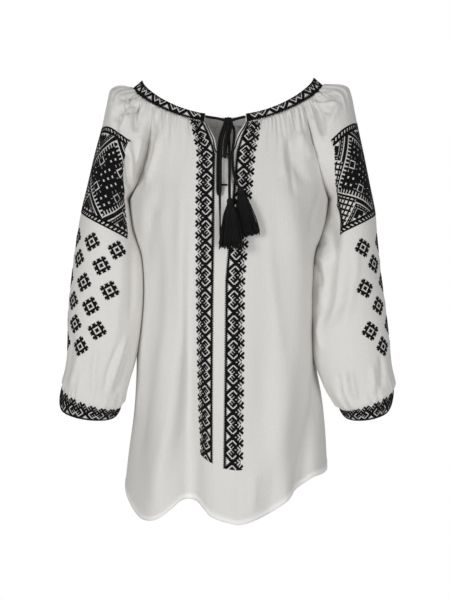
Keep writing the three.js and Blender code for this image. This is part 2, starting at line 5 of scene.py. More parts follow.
import bpy
import numpy as np
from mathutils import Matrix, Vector

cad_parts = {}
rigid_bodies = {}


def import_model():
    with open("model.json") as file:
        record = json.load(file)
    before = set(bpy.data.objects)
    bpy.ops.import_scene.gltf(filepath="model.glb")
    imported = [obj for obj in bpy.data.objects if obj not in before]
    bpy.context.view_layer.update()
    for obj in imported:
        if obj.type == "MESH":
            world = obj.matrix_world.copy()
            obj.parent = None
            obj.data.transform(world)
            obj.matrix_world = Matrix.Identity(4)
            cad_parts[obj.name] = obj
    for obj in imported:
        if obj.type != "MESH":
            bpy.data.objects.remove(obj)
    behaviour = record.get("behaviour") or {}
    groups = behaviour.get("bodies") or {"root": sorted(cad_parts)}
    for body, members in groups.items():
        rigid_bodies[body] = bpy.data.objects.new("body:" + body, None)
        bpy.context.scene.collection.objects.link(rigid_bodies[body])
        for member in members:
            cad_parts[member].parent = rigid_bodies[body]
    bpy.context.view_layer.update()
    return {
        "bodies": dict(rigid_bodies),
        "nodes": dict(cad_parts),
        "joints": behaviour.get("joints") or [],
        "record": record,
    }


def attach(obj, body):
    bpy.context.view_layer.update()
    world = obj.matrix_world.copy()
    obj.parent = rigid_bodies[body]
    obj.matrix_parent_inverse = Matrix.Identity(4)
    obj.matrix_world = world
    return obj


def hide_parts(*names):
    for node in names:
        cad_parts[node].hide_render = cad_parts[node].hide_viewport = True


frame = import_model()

# The studio: a level camera a little over two metres off, a plain pale floor well below the hem, an even
# white surround, and three square soft lamps: at the front left, lower down at the front right, and behind.
EYE = (-0.0048, -2.2, -0.3456)
LENS = 82.5
SENSOR = 36.0
FLOOR = {"radius": 1.9, "z": -1.42, "sides": 72, "colour": (0.86, 0.86, 0.85, 1), "roughness": 0.9}
SURROUND = {"seen": 1.0, "light": 0.27}
LAMPS = [
    {"at": (-1.4, -2.0, 0.1), "size": 0.7, "power": 21.5},
    {"at": (1.2, -2.2, -0.5), "size": 0.9, "power": 17},
    {"at": (0.5, 2.4, 0.4), "size": 1.2, "power": 22},
]
LIT_POINT = (0, 0, -0.35)

camera = bpy.data.objects.new("camera", bpy.data.cameras.new("camera"))
camera.location = EYE
camera.rotation_euler = (math.pi / 2, 0, 0)
camera.data.lens = LENS
camera.data.sensor_width = SENSOR
bpy.context.scene.collection.objects.link(camera)
bpy.context.scene.camera = camera
bpy.context.scene.view_settings.view_transform = "Standard"

for number, lamp in enumerate(LAMPS):
    light = bpy.data.lights.new(f"lamp_{number}", "AREA")
    light.size = lamp["size"]
    light.energy = lamp["power"]
    lamp_object = bpy.data.objects.new(light.name, light)
    lamp_object.location = lamp["at"]
    aim = Vector(LIT_POINT) - lamp_object.location
    lamp_object.rotation_euler = aim.to_track_quat("-Z", "Y").to_euler()
    bpy.context.scene.collection.objects.link(lamp_object)


def wire(tree, links):
    """Joins shader nodes; each link is a node and its output, then a node and its input."""
    for source, output, target, socket in links:
        tree.links.new(source.outputs[output], target.inputs[socket])


world = bpy.data.worlds.new("surround")
bpy.context.scene.world = world
world.use_nodes = True
surround = world.node_tree
surround.nodes.clear()
path = surround.nodes.new("ShaderNodeLightPath")
strength = surround.nodes.new("ShaderNodeMapRange")
strength.inputs["To Min"].default_value = SURROUND["light"]
strength.inputs["To Max"].default_value = SURROUND["seen"]
white = surround.nodes.new("ShaderNodeBackground")
white.inputs["Color"].default_value = (1, 1, 1, 1)
out = surround.nodes.new("ShaderNodeOutputWorld")
wire(surround, [
    (path, "Is Camera Ray", strength, "Value"),
    (strength, "Result", white, "Strength"),
    (white, "Background", out, "Surface"),
])


def finish_of(name, colour, rough):
    """A new material, its nodes and its shader, with one colour and one roughness."""
    made = bpy.data.materials.new(name)
    made.use_nodes = True
    shader = made.node_tree.nodes["Principled BSDF"]
    shader.inputs["Base Color"].default_value = colour
    shader.inputs["Roughness"].default_value = rough
    return made, made.node_tree, shader


rim = [i * math.tau / FLOOR["sides"] for i in range(FLOOR["sides"])]
corners = [(FLOOR["radius"] * math.cos(a), FLOOR["radius"] * math.sin(a), FLOOR["z"]) for a in rim]
disc = bpy.data.meshes.new("floor")
disc.from_pydata(corners, [], [list(range(FLOOR["sides"]))])
floor = bpy.data.objects.new("floor", disc)
floor.data.materials.append(finish_of("floor_paint", FLOOR["colour"], FLOOR["roughness"])[0])
bpy.context.scene.collection.objects.link(floor)


# The tie: two lengths of two-ply twisted black cord, one out of each end of the neckband. They are knotted in
# an uneven bow at the centre front, and each ends in a tassel. Here and below, the blouse's sizes are in mm.
MM = 0.001
CORD = {"diameter": 4.6, "sides": 12, "step": 0.9, "lay": 7.5, "waist": 0.16}
ROUTES = {
    "tie_cord_left": [
        (-34.3, -88.3, -63.9), (-27, -92, -65.6), (-18, -97, -67.6), (-12, -100.8, -69.3),
        (-5, -104, -72), (-3.4, -104.6, -76), (-6.2, -104.6, -79.6), (-8.6, -108, -86),
        (-11.4, -112.5, -95), (-13.8, -116.4, -107), (-15.4, -120.2, -124), (-16, -124.8, -146),
        (-16, -129, -168), (-15.8, -131.2, -181), (-14, -132.6, -187), (-11.9, -132.9, -181),
        (-11.6, -131.4, -168), (-11.6, -127.4, -146), (-11.2, -123.2, -124), (-10, -119.4, -108),
        (-8, -115, -96), (-5.2, -110.8, -86.5), (-3.2, -107.8, -79), (-1.2, -103.6, -75.6),
        (1.2, -102.4, -80.6), (1.4, -104, -92), (1.5, -107.6, -104), (1.7, -113.8, -114),
        (1.9, -119.8, -124.5), (2, -122.8, -135), (2, -127, -149), (1.9, -131.4, -162),
        (1.9, -139, -175), (1.9, -149, -186), (2.1, -154.3, -194.4), (2.4, -154.5, -204),
    ],
    "tie_cord_right": [
        (25.2, -89.6, -64.4), (20.5, -92.8, -65.8), (14.5, -97.8, -68), (7, -102.6, -71),
        (1.5, -106.4, -74.6), (0.9, -109.4, -80.6), (-1.6, -112.6, -90), (-4.2, -116.4, -102),
        (-5.5, -120.9, -114), (-5.6, -124.6, -124), (-4.8, -124.6, -130), (-4, -120.6, -125),
        (-3.4, -116.4, -114), (-1.4, -112, -103), (2.4, -109, -92), (4.4, -107.2, -81),
        (4.4, -104.4, -75.6),
        (6.1, -102.8, -79.4), (8.6, -105, -85), (9.4, -109, -94), (8.6, -113.6, -105),
        (7.2, -118.4, -116), (6.6, -122.2, -128), (7, -126.6, -143), (8.8, -131.6, -157),
        (12.6, -137.2, -168), (16.2, -140.8, -176.8), (18.8, -141, -186),
    ],
}
STANDS_FOR = {
    "tie_cord_left": ["tie_left", "bow_loop_long", "tie_end_a"],
    "tie_cord_right": ["tie_right", "bow_loop_short", "tie_end_b"],
}


def smooth_line(points, step):
    """Points about a step apart on a smooth curve through the given ones."""
    p = np.array(points, float)
    p = np.vstack([2 * p[0] - p[1], p, 2 * p[-1] - p[-2]])
    line = [p[1]]
    for a, b, c, d in zip(p, p[1:], p[2:], p[3:]):
        count = max(2, round(np.linalg.norm(c - b) / step))
        for t in np.arange(1, count + 1) / count:
            bend = (2 * a - 5 * b + 4 * c - d) * t**2 + (3 * b - a - 3 * c + d) * t**3
            line.append(0.5 * (2 * b + (c - a) * t + bend))
    return np.array(line)


def run_of(line):
    """The running length at each point of a line."""
    return np.concatenate([[0], np.cumsum(np.linalg.norm(np.diff(line, axis=0), axis=1))])


ASLANT = (0.31, 0.2, 0.93)  # a direction that no line of the tie starts along


def side_axes(line, closed=False):
    """Two directions across a line at each of its points, carried along it without twist."""
    if closed:
        along = np.roll(line, -1, 0) - np.roll(line, 1, 0)
    else:
        along = np.gradient(line, axis=0)
    along /= np.linalg.norm(along, axis=1)[:, None]
    first = np.cross(along[0], ASLANT)
    rows = [first / np.linalg.norm(first)]
    for way in along[1:]:
        turned = rows[-1] - way * (rows[-1] @ way)
        rows.append(turned / np.linalg.norm(turned))
    first = np.array(rows)
    return first, np.cross(along, first)


def finished_piece(name, mesh, material):
    """The object of a finished mesh, in its material, fixed to the blouse's one body."""
    made = bpy.data.objects.new(name, mesh)
    made.data.materials.append(material)
    bpy.context.scene.collection.objects.link(made)
    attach(made, "root")
    return made


class Cords:
    """Cords, threads and other round bodies, gathered into one mesh."""

    def __init__(self):
        self.points, self.faces, self.count = [], [], 0

    def add(self, points, faces):
        self.points.append(np.asarray(points, float).reshape(-1, 3))
        self.faces += [tuple(int(v) + self.count for v in face) for face in faces]
        self.count += len(self.points[-1])

    def tube(self, rings, closed=False):
        """A tube through rings of equal length, with flat ends unless it is closed in a loop."""
        rings = np.asarray(rings, float)
        rows, sides = rings.shape[:2]
        faces = []
        for i in range(rows if closed else rows - 1):
            low, high = i * sides, (i + 1) % rows * sides
            faces += [
                (low + k, low + (k + 1) % sides, high + (k + 1) % sides, high + k) for k in range(sides)
            ]
        if not closed:
            faces += [tuple(range(sides))[::-1], tuple(range((rows - 1) * sides, rows * sides))]
        self.add(rings, faces)

    def cord(self, line, radius, sides, ply=0.0, twist=0.0, closed=False):
        """A round cord along a line; ply is how far its two plies draw in at the waist between them."""
        one, two = side_axes(line, closed)
        run = run_of(line)
        angle = np.arange(sides) * math.tau / sides
        lobes = 1 - ply + ply * np.abs(np.cos(angle[None] + twist * run[:, None]))
        around = (radius * lobes)[..., None] * (
            np.cos(angle)[None, :, None] * one[:, None] + np.sin(angle)[None, :, None] * two[:, None]
        )
        self.tube(line[:, None] + around, closed)

    def build(self, name, material, slot):
        mesh = bpy.data.meshes.new(name)
        mesh.from_pydata((np.vstack(self.points) * MM).tolist(), [], self.faces)
        mesh.shade_smooth()
        return finished_piece(name, mesh, material)


def node(tree, kind, **settings):
    """A new shader node, with its settings, and with its inputs given by name."""
    made = tree.nodes.new(kind)
    for key, value in settings.items():
        if hasattr(made, key):
            setattr(made, key, value)
        else:
            made.inputs[key.replace("_", " ")].default_value = value
    return made


BLACK = (0.004, 0.004, 0.004, 1)
BLACK_ROUGHNESS = 0.7
FIBRE_GRAIN = 2600  # to the metre


def black_thread():
    """Black cotton thread: almost matt, a soft sheen, and the grain of its fibres."""
    made, tree, shader = finish_of("cord_thread", BLACK, BLACK_ROUGHNESS)
    shader.inputs["Sheen Weight"].default_value = 0.05
    shader.inputs["Specular IOR Level"].default_value = 0.25
    shader.inputs["Sheen Roughness"].default_value = 0.4
    place = node(tree, "ShaderNodeTexCoord")
    fibres = node(tree, "ShaderNodeTexNoise", Scale=FIBRE_GRAIN, Detail=4.0)
    tint = node(tree, "ShaderNodeValToRGB")
    tint.color_ramp.elements[0].color = (0.0012, 0.0012, 0.0014, 1)
    tint.color_ramp.elements[1].color = (0.006, 0.0056, 0.006, 1)
    bump = node(tree, "ShaderNodeBump", Strength=0.5, Distance=0.0003)
    wire(tree, [
        (place, "Object", fibres, "Vector"),
        (fibres, "Fac", tint, "Fac"),
        (tint, "Color", shader, "Base Color"),
        (fibres, "Fac", bump, "Height"),
        (bump, "Normal", shader, "Normal"),
    ])
    return made


cord_thread = black_thread()
TWIST = math.tau / CORD["lay"]
tie_lines = {}
for name, points in ROUTES.items():
    line = smooth_line(points, CORD["step"])
    strand = Cords()
    strand.cord(line, CORD["diameter"] / 2, CORD["sides"], CORD["waist"], TWIST)
    strand.build(name, cord_thread, "black_cord")
    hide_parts(*STANDS_FOR[name])
    tie_lines[name] = line


# The knot of the bow: the same cord wound over itself three times, tight and a little askew. A turn is given
# by how far it lies from the knot's middle and how much it leans; a plain core fills the knot between them.
KNOT = {
    "at": (0, -104.5, -73.5), "deep": 5.4, "high": 4.6, "long": 9.5, "steps": 44,
    "turns": [(-4.3, 16), (0.1, 4), (4.4, -14)],
    "radius": 0.52 * CORD["diameter"], "sides": 10,
}
CORE = {"x": (-6.5, -3, 0, 3, 6.5), "radius": 4.2, "step": 1.2}

knot = Cords()
around = np.arange(0, math.tau, math.tau / KNOT["steps"])
for shift, tilt in KNOT["turns"]:
    lean = math.tan(math.radians(tilt))
    shrink = math.sqrt(1 - (shift / KNOT["long"]) ** 2)
    y = KNOT["deep"] * shrink * np.cos(around)
    z = KNOT["high"] * shrink * np.sin(around)
    turn_line = np.stack([shift + z * lean, y, z], 1) + KNOT["at"]
    knot.cord(turn_line, KNOT["radius"], KNOT["sides"], CORD["waist"], TWIST, closed=True)
core = smooth_line([(x, *KNOT["at"][1:]) for x in CORE["x"]], CORE["step"])
knot.cord(core, CORE["radius"], KNOT["sides"])
bow_knot = knot.build("bow_knot_winding", cord_thread, "black_cord")
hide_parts("bow_knot")


# The tassels: a bundle of black threads folded over the cord's end, tied in to a round head, whipped below
# it, and left to spread and fray at their ends.
TASSELS = {
    "tassel_a": {"top": (2.2, -154.5, -193.5), "lean": (0.02, 0, -1), "flat": 0.52, "seed": 11},
    "tassel_b": {"top": (16.9, -141, -176), "lean": (0.2, 0, -1), "flat": 0.46, "seed": 12},
}
PROFILE = np.array(
    [(0.8, 0), (3.6, 1.2), (4.8, 4.5), (4.6, 8.5), (3.7, 11), (6.2, 14.5), (10.8, 26), (15.6, 50), (19, 76)]
)
HEAD = {"ribs": 13, "rib_depth": 0.1, "start": 0.1, "end": 9.0, "rings": 14, "rounder": 0.6}
WHIPPING = {
    "from": 8.6, "turns": 5, "pitch": 1.0, "askew": 0.25, "reach": 3.9, "steps": 26,
    "radius": 0.62, "sides": 7,
}
THREADS = {
    "count": 260, "start": 9.5, "ends": (67, 77), "points": 9, "outward": 0.42, "within": 0.97,
    "some": 0.25, "shorter": 6, "wave": 1.1, "waves": 4.5, "swirl": 0.25,
    "radius": 0.56, "uneven": (0.8, 1.1), "sides": 4,
}


def tassel(name, top, lean, flat, seed):
    """One tassel; flat is its depth as a share of its width, and its head is rounder than its skirt."""
    draw = random.Random(seed)
    body = Cords()
    down = np.array(Vector(lean).normalized())
    aside = np.cross((0, 1, 0), down)
    front = np.array((0, 1, 0)) * flat
    rounder = flat ** HEAD["rounder"]

    def place(across, depth, below):
        spot = np.asarray(top) + np.multiply.outer(across, aside)
        return spot + np.multiply.outer(depth, front) + np.multiply.outer(below, down)

    def reach(below):
        return np.interp(below, PROFILE[:, 1], PROFILE[:, 0])

    around = np.arange(0, math.tau, math.tau / (HEAD["ribs"] * 4))
    rings = []
    for below in np.linspace(HEAD["start"], HEAD["end"], HEAD["rings"]):
        r = reach(below) * (1 - HEAD["rib_depth"] * (0.5 + 0.5 * np.cos(around * HEAD["ribs"])))
        rings.append(place(r * np.cos(around), r * np.sin(around) / rounder, np.full(len(around), below)))
    body.tube(rings)
    loop = np.arange(0, math.tau, math.tau / WHIPPING["steps"])
    for turn in range(WHIPPING["turns"]):
        below = WHIPPING["from"] + turn * WHIPPING["pitch"] + WHIPPING["askew"] * np.sin(loop)
        r = WHIPPING["reach"]
        line = place(r * np.cos(loop), r * np.sin(loop) / rounder, below)
        body.cord(line, WHIPPING["radius"], WHIPPING["sides"], closed=True)
    for _ in range(THREADS["count"]):
        angle = draw.uniform(0, math.tau)
        out_share = draw.random() ** THREADS["outward"] * THREADS["within"]
        end = draw.uniform(*THREADS["ends"])
        if draw.random() < THREADS["some"]:
            end -= THREADS["shorter"] * draw.random()
        phase = draw.uniform(0, math.tau)
        below = np.linspace(THREADS["start"], end, THREADS["points"])
        share = (below - below[0]) / (end - below[0])
        drift = THREADS["wave"] * share * np.sin(phase + THREADS["waves"] * share)
        turned = angle + THREADS["swirl"] * share * math.sin(phase)
        r = reach(below) * out_share
        line = place(r * np.cos(turned) + drift, r * np.sin(turned) + drift / 2, below)
        body.cord(line, THREADS["radius"] * draw.uniform(*THREADS["uneven"]), THREADS["sides"])
    made = body.build(name + "_threads", cord_thread, "black_cord")
    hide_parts(name)
    return made


tassels = {name: tassel(name, **sizes) for name, sizes in TASSELS.items()}

ON_CORD = {"tie_cord_left": [bow_knot, tassels["tassel_a"]], "tie_cord_right": [tassels["tassel_b"]]}
for name, hung in ON_CORD.items():
    line = tie_lines[name] * MM


# The four pieces of fine white cotton: a front, a back and two raglan sleeves, sewn together at the seams and
# gathered on to the neckband and the cuffs. Each is a thin sheet with a row of points at every level: 0 at
# the neckband, 1 at the underarm and 2 at the hem or the cuff. Left and right are as seen from the front.
CLOTH = 0.9
NECK = {
    "half_width": 139, "shoulder_z": 5, "front_y": 88, "front_z": -62, "back_y": 80, "back_z": -44,
    "lean": 0.016,
}
BAND_SLOPE = {"shoulder": 43, "middle": 62}  # degrees down from level
BAND_WIDTH = 15
BAND_GAP = 0.7
BAND_PULL = 0.35  # the level down to which the cloth follows the band
RAGLAN = {"front": 52, "back": 133}  # where the raglan seams meet the band, in degrees round the neck
UNDERARM_Z = -187
HEM_Z = {-1: -638, 1: -606}  # at the side seams: -1 is the left one, 1 the right one
SLIT = {"x": -12, "level": 1.12}
SEAM_GAP = 0.05

# The seams and the middles of the sheets, level by level. SEAM is the raglan seams, CROWN the line over the
# shoulder, CENTRE the middle of front and back, SIDE the side seams, and ARM rings round the lower sleeves.
# wider and higher are what the right side adds, and spread is half the turn of a row, in degrees.
SEAM = {
    "level": [0, 0.1, 0.2, 0.3, 0.42, 0.55, 0.7, 0.85, 1],
    "front_x": [115.5, 118, 119.5, 121, 123, 126, 132, 142, 157],
    "front_y": [-62, -66, -69, -70, -71, -69, -62, -44, -14],
    "front_z": [-40, -57, -71, -84, -98, -115, -137, -163, -187],
    "wider": [0, 2.5, 4.5, 6, 7, 9, 10, 8, 3],
    "back_x": [106.5, 107, 108, 110, 113, 118, 128, 142, 157],
    "back_y": [62.5, 72, 78, 82, 84, 82, 72, 42, -14],
    "back_z": [-35, -48, -62, -76, -90, -108, -134, -163, -187],
}
CROWN = {
    "level": [0, 0.1, 0.2, 0.3, 0.42, 0.55, 0.7, 0.85, 1],
    "x": [150, 165, 177, 186.5, 191, 195.5, 201, 211, 222],
    "y": [-3, -3, -3, -4, -5, -6, -8, -11, -14],
    "z": [-3, -4.5, -6.5, -12, -26, -46, -74, -113, -162],
    "wider": [0, -1, 2, 5, 6, 6, 6, 4, 2.5],
    "higher": [4, 3.5, 4, 5, 5, 2, 0, 0, 0],
    "spread": [62, 68, 75, 84, 95, 108, 128, 153, 180],
    "depth": [70, 74, 76, 78, 78, 77, 74, 70, 66],
}
CENTRE = {
    "level": [0, 0.1, 0.2, 0.3, 0.42, 0.55, 0.7, 0.85, 1, 1.12, 1.3, 1.5, 1.7, 1.85, 2],
    "front_y": [-95, -99, -103, -107.5, -113.5, -117, -121.5, -125.5, -129, -134, -132, -127, -125,
                -126, -128],
    "front_z": [-73.5, -82, -91, -103, -120, -131, -148, -167, -188, -247, -337, -436, -535, -610, -684],
    "back_y": [87, 92, 97, 101, 105, 108, 110, 111, 110, 105, 98, 104, 112, 117, 121],
    "back_z": [-57, -68, -80, -93, -109, -124, -145, -167, -188, -246, -330, -426, -521, -592, -664],
    "spread": [55, 57, 59, 61, 63, 66, 71, 79, 90, 90, 90, 90, 90, 90, 90],
}
SIDE = {
    "level": [1, 1.085, 1.13, 1.19, 1.31, 1.42, 1.52, 1.62, 1.75, 1.88, 2],
    "left_x": [-157, -152.5, -146.5, -138, -134, -137.5, -144, -146, -150, -158, -164],
    "right_x": [160, 154, 149, 138.5, 133.5, 133.5, 135.5, 140, 149, 155, 158],
    "y": [-14, -21, -24, -26, -27, -25, -18, -9, -4, -3, -4],
}
ARM = {
    "level": [1, 1.12, 1.25, 1.38, 1.5, 1.61, 1.72, 1.85, 2],
    "outer_left": [-222, -232.5, -239.7, -246.3, -251.3, -252.1, -254.8, -259.5, -260],
    "outer_right": [224.5, 233, 236, 241.5, 248.7, 254.3, 258, 260.5, 258.5],
    "outer_z": [-162, -208, -255, -310, -365, -415, -453, -474, -489],
    "inner_left": [-157, -145, -132, -131.5, -137, -144.5, -155, -163, -171],
    "inner_right": [160, 146, 133, 131, 131, 135, 147, 161, 179],
    "inner_z": [-187, -240, -290, -345, -395, -438, -473, -498, -517],
    "y": [-14, -20, -28, -33, -35, -35, -33, -30, -28],
    "depth": [66, 66, 63, 59, 57, 55, 53, 50, 45],
    "front_drop": [0, 0, 0, 1, 2, 4, 8, 12, 14],
}
V_EDGES = {  # the x of the two edges of the V and of the slit below it
    "z": [-260, -131, -120, -103, -91, -82, -73],
    "left": [-12.35, -12.35, -16.5, -19.5, -25, -29.5, -34],
    "right": [-11.65, -11.65, 4, 10.5, 16, 22, 27],
}
HEM_LIFT = {  # how far the front's hem is above its level line
    "x": [-164, -152, -136, -118, -103, -88, -73, -59, -46, -36, -26, 0, 19, 62, 88, 112, 132, 152, 158],
    "lift": [0, -10, -17, -13, -3, 12, 27, 31, 29, 20, 11, 3, 0, 9, 18, 27, 29, 12, 0],
}
HEM_LIFT_FROM = 1.3
HEM_LIFT_POWER = 1.6

# The folds of the body: the level each starts at, its place across at the top and at the hem, its width, and
# how far it stands out (or in) at the hem.
FOLD_GROWTH = 0.8
FOLD_TURN = 0.7
BODY_FOLDS = {
    "front": [
        (1.08, -84, -124, 24, 13), (1.1, -60, -57, 19, -27), (1.25, -6, 18, 42, 8), (1.2, 55, 62, 18, -6),
        (1.04, 63, 92, 19, 8), (1.2, 90, 117, 20, -11), (1.45, 128, 140, 15, 5),
    ],
    "back": [
        (1.1, -88, -118, 24, 10), (1.15, -58, -72, 20, -12), (1.2, -20, -28, 30, 8),
        (1.15, 22, 24, 20, -11), (1.1, 58, 76, 24, 10), (1.25, 96, 116, 18, -8),
    ],
}


def read(table, name, at, key="level"):
    """A column of a table at any level, through a smooth curve."""
    at = np.asarray(at, float)
    x = np.array(table[key], float)
    y = np.array(table[name], float)
    low = np.maximum(np.arange(len(x)) - 1, 0)
    high = np.minimum(np.arange(len(x)) + 1, len(x) - 1)
    slope = (y[high] - y[low]) / (x[high] - x[low])
    i = np.clip(np.searchsorted(x, at) - 1, 0, len(x) - 2)
    h = x[i + 1] - x[i]
    s = np.clip((at - x[i]) / h, 0, 1)
    return (
        (1 + 2 * s) * (1 - s) ** 2 * y[i] + s * (1 - s) ** 2 * h * slope[i]
        + s * s * (3 - 2 * s) * y[i + 1] + s * s * (s - 1) * h * slope[i + 1]
    )


def stack(x, y, z):
    """Points from their three measures."""
    return np.stack(np.broadcast_arrays(x, y, z), -1).astype(float)


def unit(v):
    """Directions one long."""
    return v / np.maximum(np.linalg.norm(v, axis=-1, keepdims=True), 1e-12)


def neck_point(angle, down):
    """On the neckband's slanting face: 0 at the centre front, 90 at the right shoulder, 180 at the back."""
    a = np.radians(angle)
    front = np.cos(a) > 0
    depth = np.where(front, NECK["front_y"], NECK["back_y"])
    low = np.where(front, NECK["front_z"], NECK["back_z"])
    rise = 0.5 * (1 - np.abs(np.cos(a)) + np.sin(a) ** 2)
    out_way = unit(stack(np.sin(a) / NECK["half_width"], -np.cos(a) / depth, 0))
    level_share = np.cos(a) ** 2
    slope = np.radians(
        BAND_SLOPE["shoulder"] + (BAND_SLOPE["middle"] - BAND_SLOPE["shoulder"]) * level_share
    )
    x = NECK["half_width"] * np.sin(a)
    z = low + (NECK["shoulder_z"] - low) * rise + NECK["lean"] * x
    edge = stack(x, -depth * np.cos(a), z)
    drop = stack(0, 0, -down * np.sin(slope))
    return edge + out_way * (down * np.cos(slope))[..., None] + drop


def onto_band(points, level, angle, at_top):
    """Moves the rows near the neckband so that the topmost lies along the band's lower edge."""
    fade = np.maximum(0, 1 - level / BAND_PULL) ** 2
    return points + fade[..., None] * (neck_point(angle, BAND_WIDTH + BAND_GAP) - at_top)


def raglan_end(level, way, part):
    """A point of a raglan seam, on its front or back side; way is -1 at the left and 1 at the right."""
    wider = read(SEAM, "wider", level) * (way > 0)
    x = way * (read(SEAM, part + "_x", level) + wider)
    return stack(x, read(SEAM, part + "_y", level), read(SEAM, part + "_z", level))


def side_end(level, way):
    """A point of a side seam."""
    x = np.where(way < 0, read(SIDE, "left_x", level), read(SIDE, "right_x", level))
    hem = np.where(way < 0, HEM_Z[-1], HEM_Z[1])
    return stack(x, read(SIDE, "y", level), UNDERARM_Z + (hem - UNDERARM_Z) * (level - 1))


def body_row(level, turn, part):
    """A point of the front or the back before it is drawn on to the band, at a turn from its middle."""
    way = np.where(turn < 0, -1, 1)
    to = np.where((level < 1)[..., None], raglan_end(level, way, part), side_end(level, way))
    spread = np.radians(read(CENTRE, "spread", np.minimum(level, 1)))
    s = np.abs(np.sin(np.radians(turn)) / np.sin(spread))
    c = (1 - np.cos(np.radians(turn))) / (1 - np.cos(spread))
    middle_y = read(CENTRE, part + "_y", level)
    middle_z = read(CENTRE, part + "_z", level)
    x = s * to[..., 0]
    y = middle_y + (to[..., 1] - middle_y) * c
    z = middle_z + (to[..., 2] - middle_z) * c
    turned = np.maximum(np.cos(np.radians(turn)), 0) ** FOLD_TURN
    facing = -1 if part == "front" else 1
    for start, top_x, hem_x, width, out_by in BODY_FOLDS[part]:
        down = np.clip((level - start) / (2 - start), 0, 1)
        across = (x - top_x - (hem_x - top_x) * down) / width
        y = y + facing * out_by * down ** FOLD_GROWTH * np.exp(-across * across) * turned * (level > 1)
    if part == "front":
        low = np.maximum(0, (level - HEM_LIFT_FROM) / (2 - HEM_LIFT_FROM)) ** HEM_LIFT_POWER
        z = z + read(HEM_LIFT, "lift", x, key="x") * low
    return stack(x, y, z)


def body_point(level, across, part):
    """A point of the front or the back; across runs from -1 at the left seam to 1 at the right seam."""
    level, across = np.broadcast_arrays(np.asarray(level, float), np.asarray(across, float))
    p = body_row(level, across * read(CENTRE, "spread", np.minimum(level, 1)), part)
    top = body_row(np.zeros_like(level), across * CENTRE["spread"][0], part)
    if part == "front":
        angle = across * RAGLAN["front"]
    else:
        angle = 180 - across * (180 - RAGLAN["back"])
    return onto_band(p, level, angle, top)


HALVINGS = 40


def front_across(level, x):
    """How far across the front a given x lies, at each level, found by halving."""
    low = -np.ones_like(level)
    high = np.ones_like(level)
    for _ in range(HALVINGS):
        middle = (low + high) / 2
        less = body_point(level, middle, "front")[..., 0] < x
        low = np.where(less, middle, low)
        high = np.where(less, high, middle)
    return (low + high) / 2


def ring_point(rings, level, turn, way):
    """A point of a ring round the arm, from its inner side over the front, the outer side and the back."""
    part = "left" if way < 0 else "right"
    y = read(rings, "y", level)
    outer = stack(read(rings, "outer_" + part, level), y, read(rings, "outer_z", level))
    inner = stack(read(rings, "inner_" + part, level), y, read(rings, "inner_z", level))
    t = np.radians(turn)
    p = outer + (inner - outer) * ((1 - np.cos(t)) / 2)[..., None]
    p[..., 1] += read(rings, "depth", level) * np.sin(t)
    p[..., 2] += read(rings, "front_drop", level) * np.minimum(0, np.sin(t))
    return p


def sleeve_row(level, share, way):
    """A point of a sleeve above the underarm before it is drawn on to the band."""
    spread = read(CROWN, "spread", level)
    turn = (share * 2 - 1) * spread
    s = np.radians(spread)
    t = np.radians(turn)
    c = (1 - np.cos(t)) / (1 - np.cos(s))
    middle = stack(
        way * (read(CROWN, "x", level) + (way > 0) * read(CROWN, "wider", level)),
        read(CROWN, "y", level),
        read(CROWN, "z", level) + (way > 0) * read(CROWN, "higher", level),
    )
    to = np.where((turn < 0)[..., None], raglan_end(level, way, "front"), raglan_end(level, way, "back"))
    p = middle + (to - middle) * c[..., None]
    p[..., 1] += read(CROWN, "depth", level) * (np.sin(t) - np.sign(turn) * np.sin(s) * c)
    return p


def sleeve_point(level, share, way):
    """A point of a sleeve; share runs from 0 at the front seam to 1 at the back seam."""
    level, share = np.broadcast_arrays(np.asarray(level, float), np.asarray(share, float))
    high = np.minimum(level, 1)
    angle = way * (RAGLAN["front"] + (RAGLAN["back"] - RAGLAN["front"]) * share)
    top = sleeve_row(np.zeros_like(level), share, way)
    shoulder = onto_band(sleeve_row(high, share, way), high, angle, top)
    below = ring_point(ARM, np.maximum(level, 1), share * 360 - 180, way)
    return np.where((level > 1)[..., None], below, shoulder)


def normals_of(points, faces):
    """The outward direction at each point of a mesh of quads."""
    total = np.zeros_like(points)
    across = np.cross(points[faces[:, 2]] - points[faces[:, 0]], points[faces[:, 3]] - points[faces[:, 1]])
    for corner in range(4):
        np.add.at(total, faces[:, corner], across)
    return unit(total)


def line_distance(points, line):
    """Each point's distance from a line, and how far along the line it is nearest, 0 to 1."""
    line = np.asarray(line, float)
    best = np.full(len(points), np.inf)
    share = np.zeros(len(points))
    run = run_of(line)
    for a, b, start, end in zip(line, line[1:], run, run[1:]):
        t = np.clip((points - a) @ (b - a) / ((b - a) @ (b - a)), 0, 1)
        gap = np.linalg.norm(points - a - t[:, None] * (b - a), axis=1)
        nearer = gap < best
        best = np.where(nearer, gap, best)
        share = np.where(nearer, (start + (end - start) * t) / run[-1], share)
    return best, share


def lengths_of(grid, axis):
    """The running length along the rows (1) or down the columns (0) of a grid of points."""
    run = np.zeros(grid.shape[:2])
    step = np.cumsum(np.linalg.norm(np.diff(grid, axis=axis), axis=-1), axis=axis)
    if axis:
        run[:, 1:] = step
    else:
        run[1:] = step
    return run


def map_corners(mesh, name, places):
    """Gives a mesh a map that holds each vertex's place."""
    corner = np.empty(len(mesh.loops), int)
    mesh.loops.foreach_get("vertex_index", corner)
    mesh.uv_layers.new(name=name).data.foreach_set("uv", places[corner].ravel())


SEAM_REACH = {"crease": 20, "gather": 7, "rows": 4}  # how far a seam is felt beside it and past its end
# A crease fades out over a share of its length at each end, and where the cloth turns away. It is felt up to
# six times its half width away, and the cloth just beside it goes a little the other way.
CREASE = {"ends": 0.25, "turn": 2.2, "reach": 6, "beside": 0.35}
SHORT_OF_LAST = 1.000001


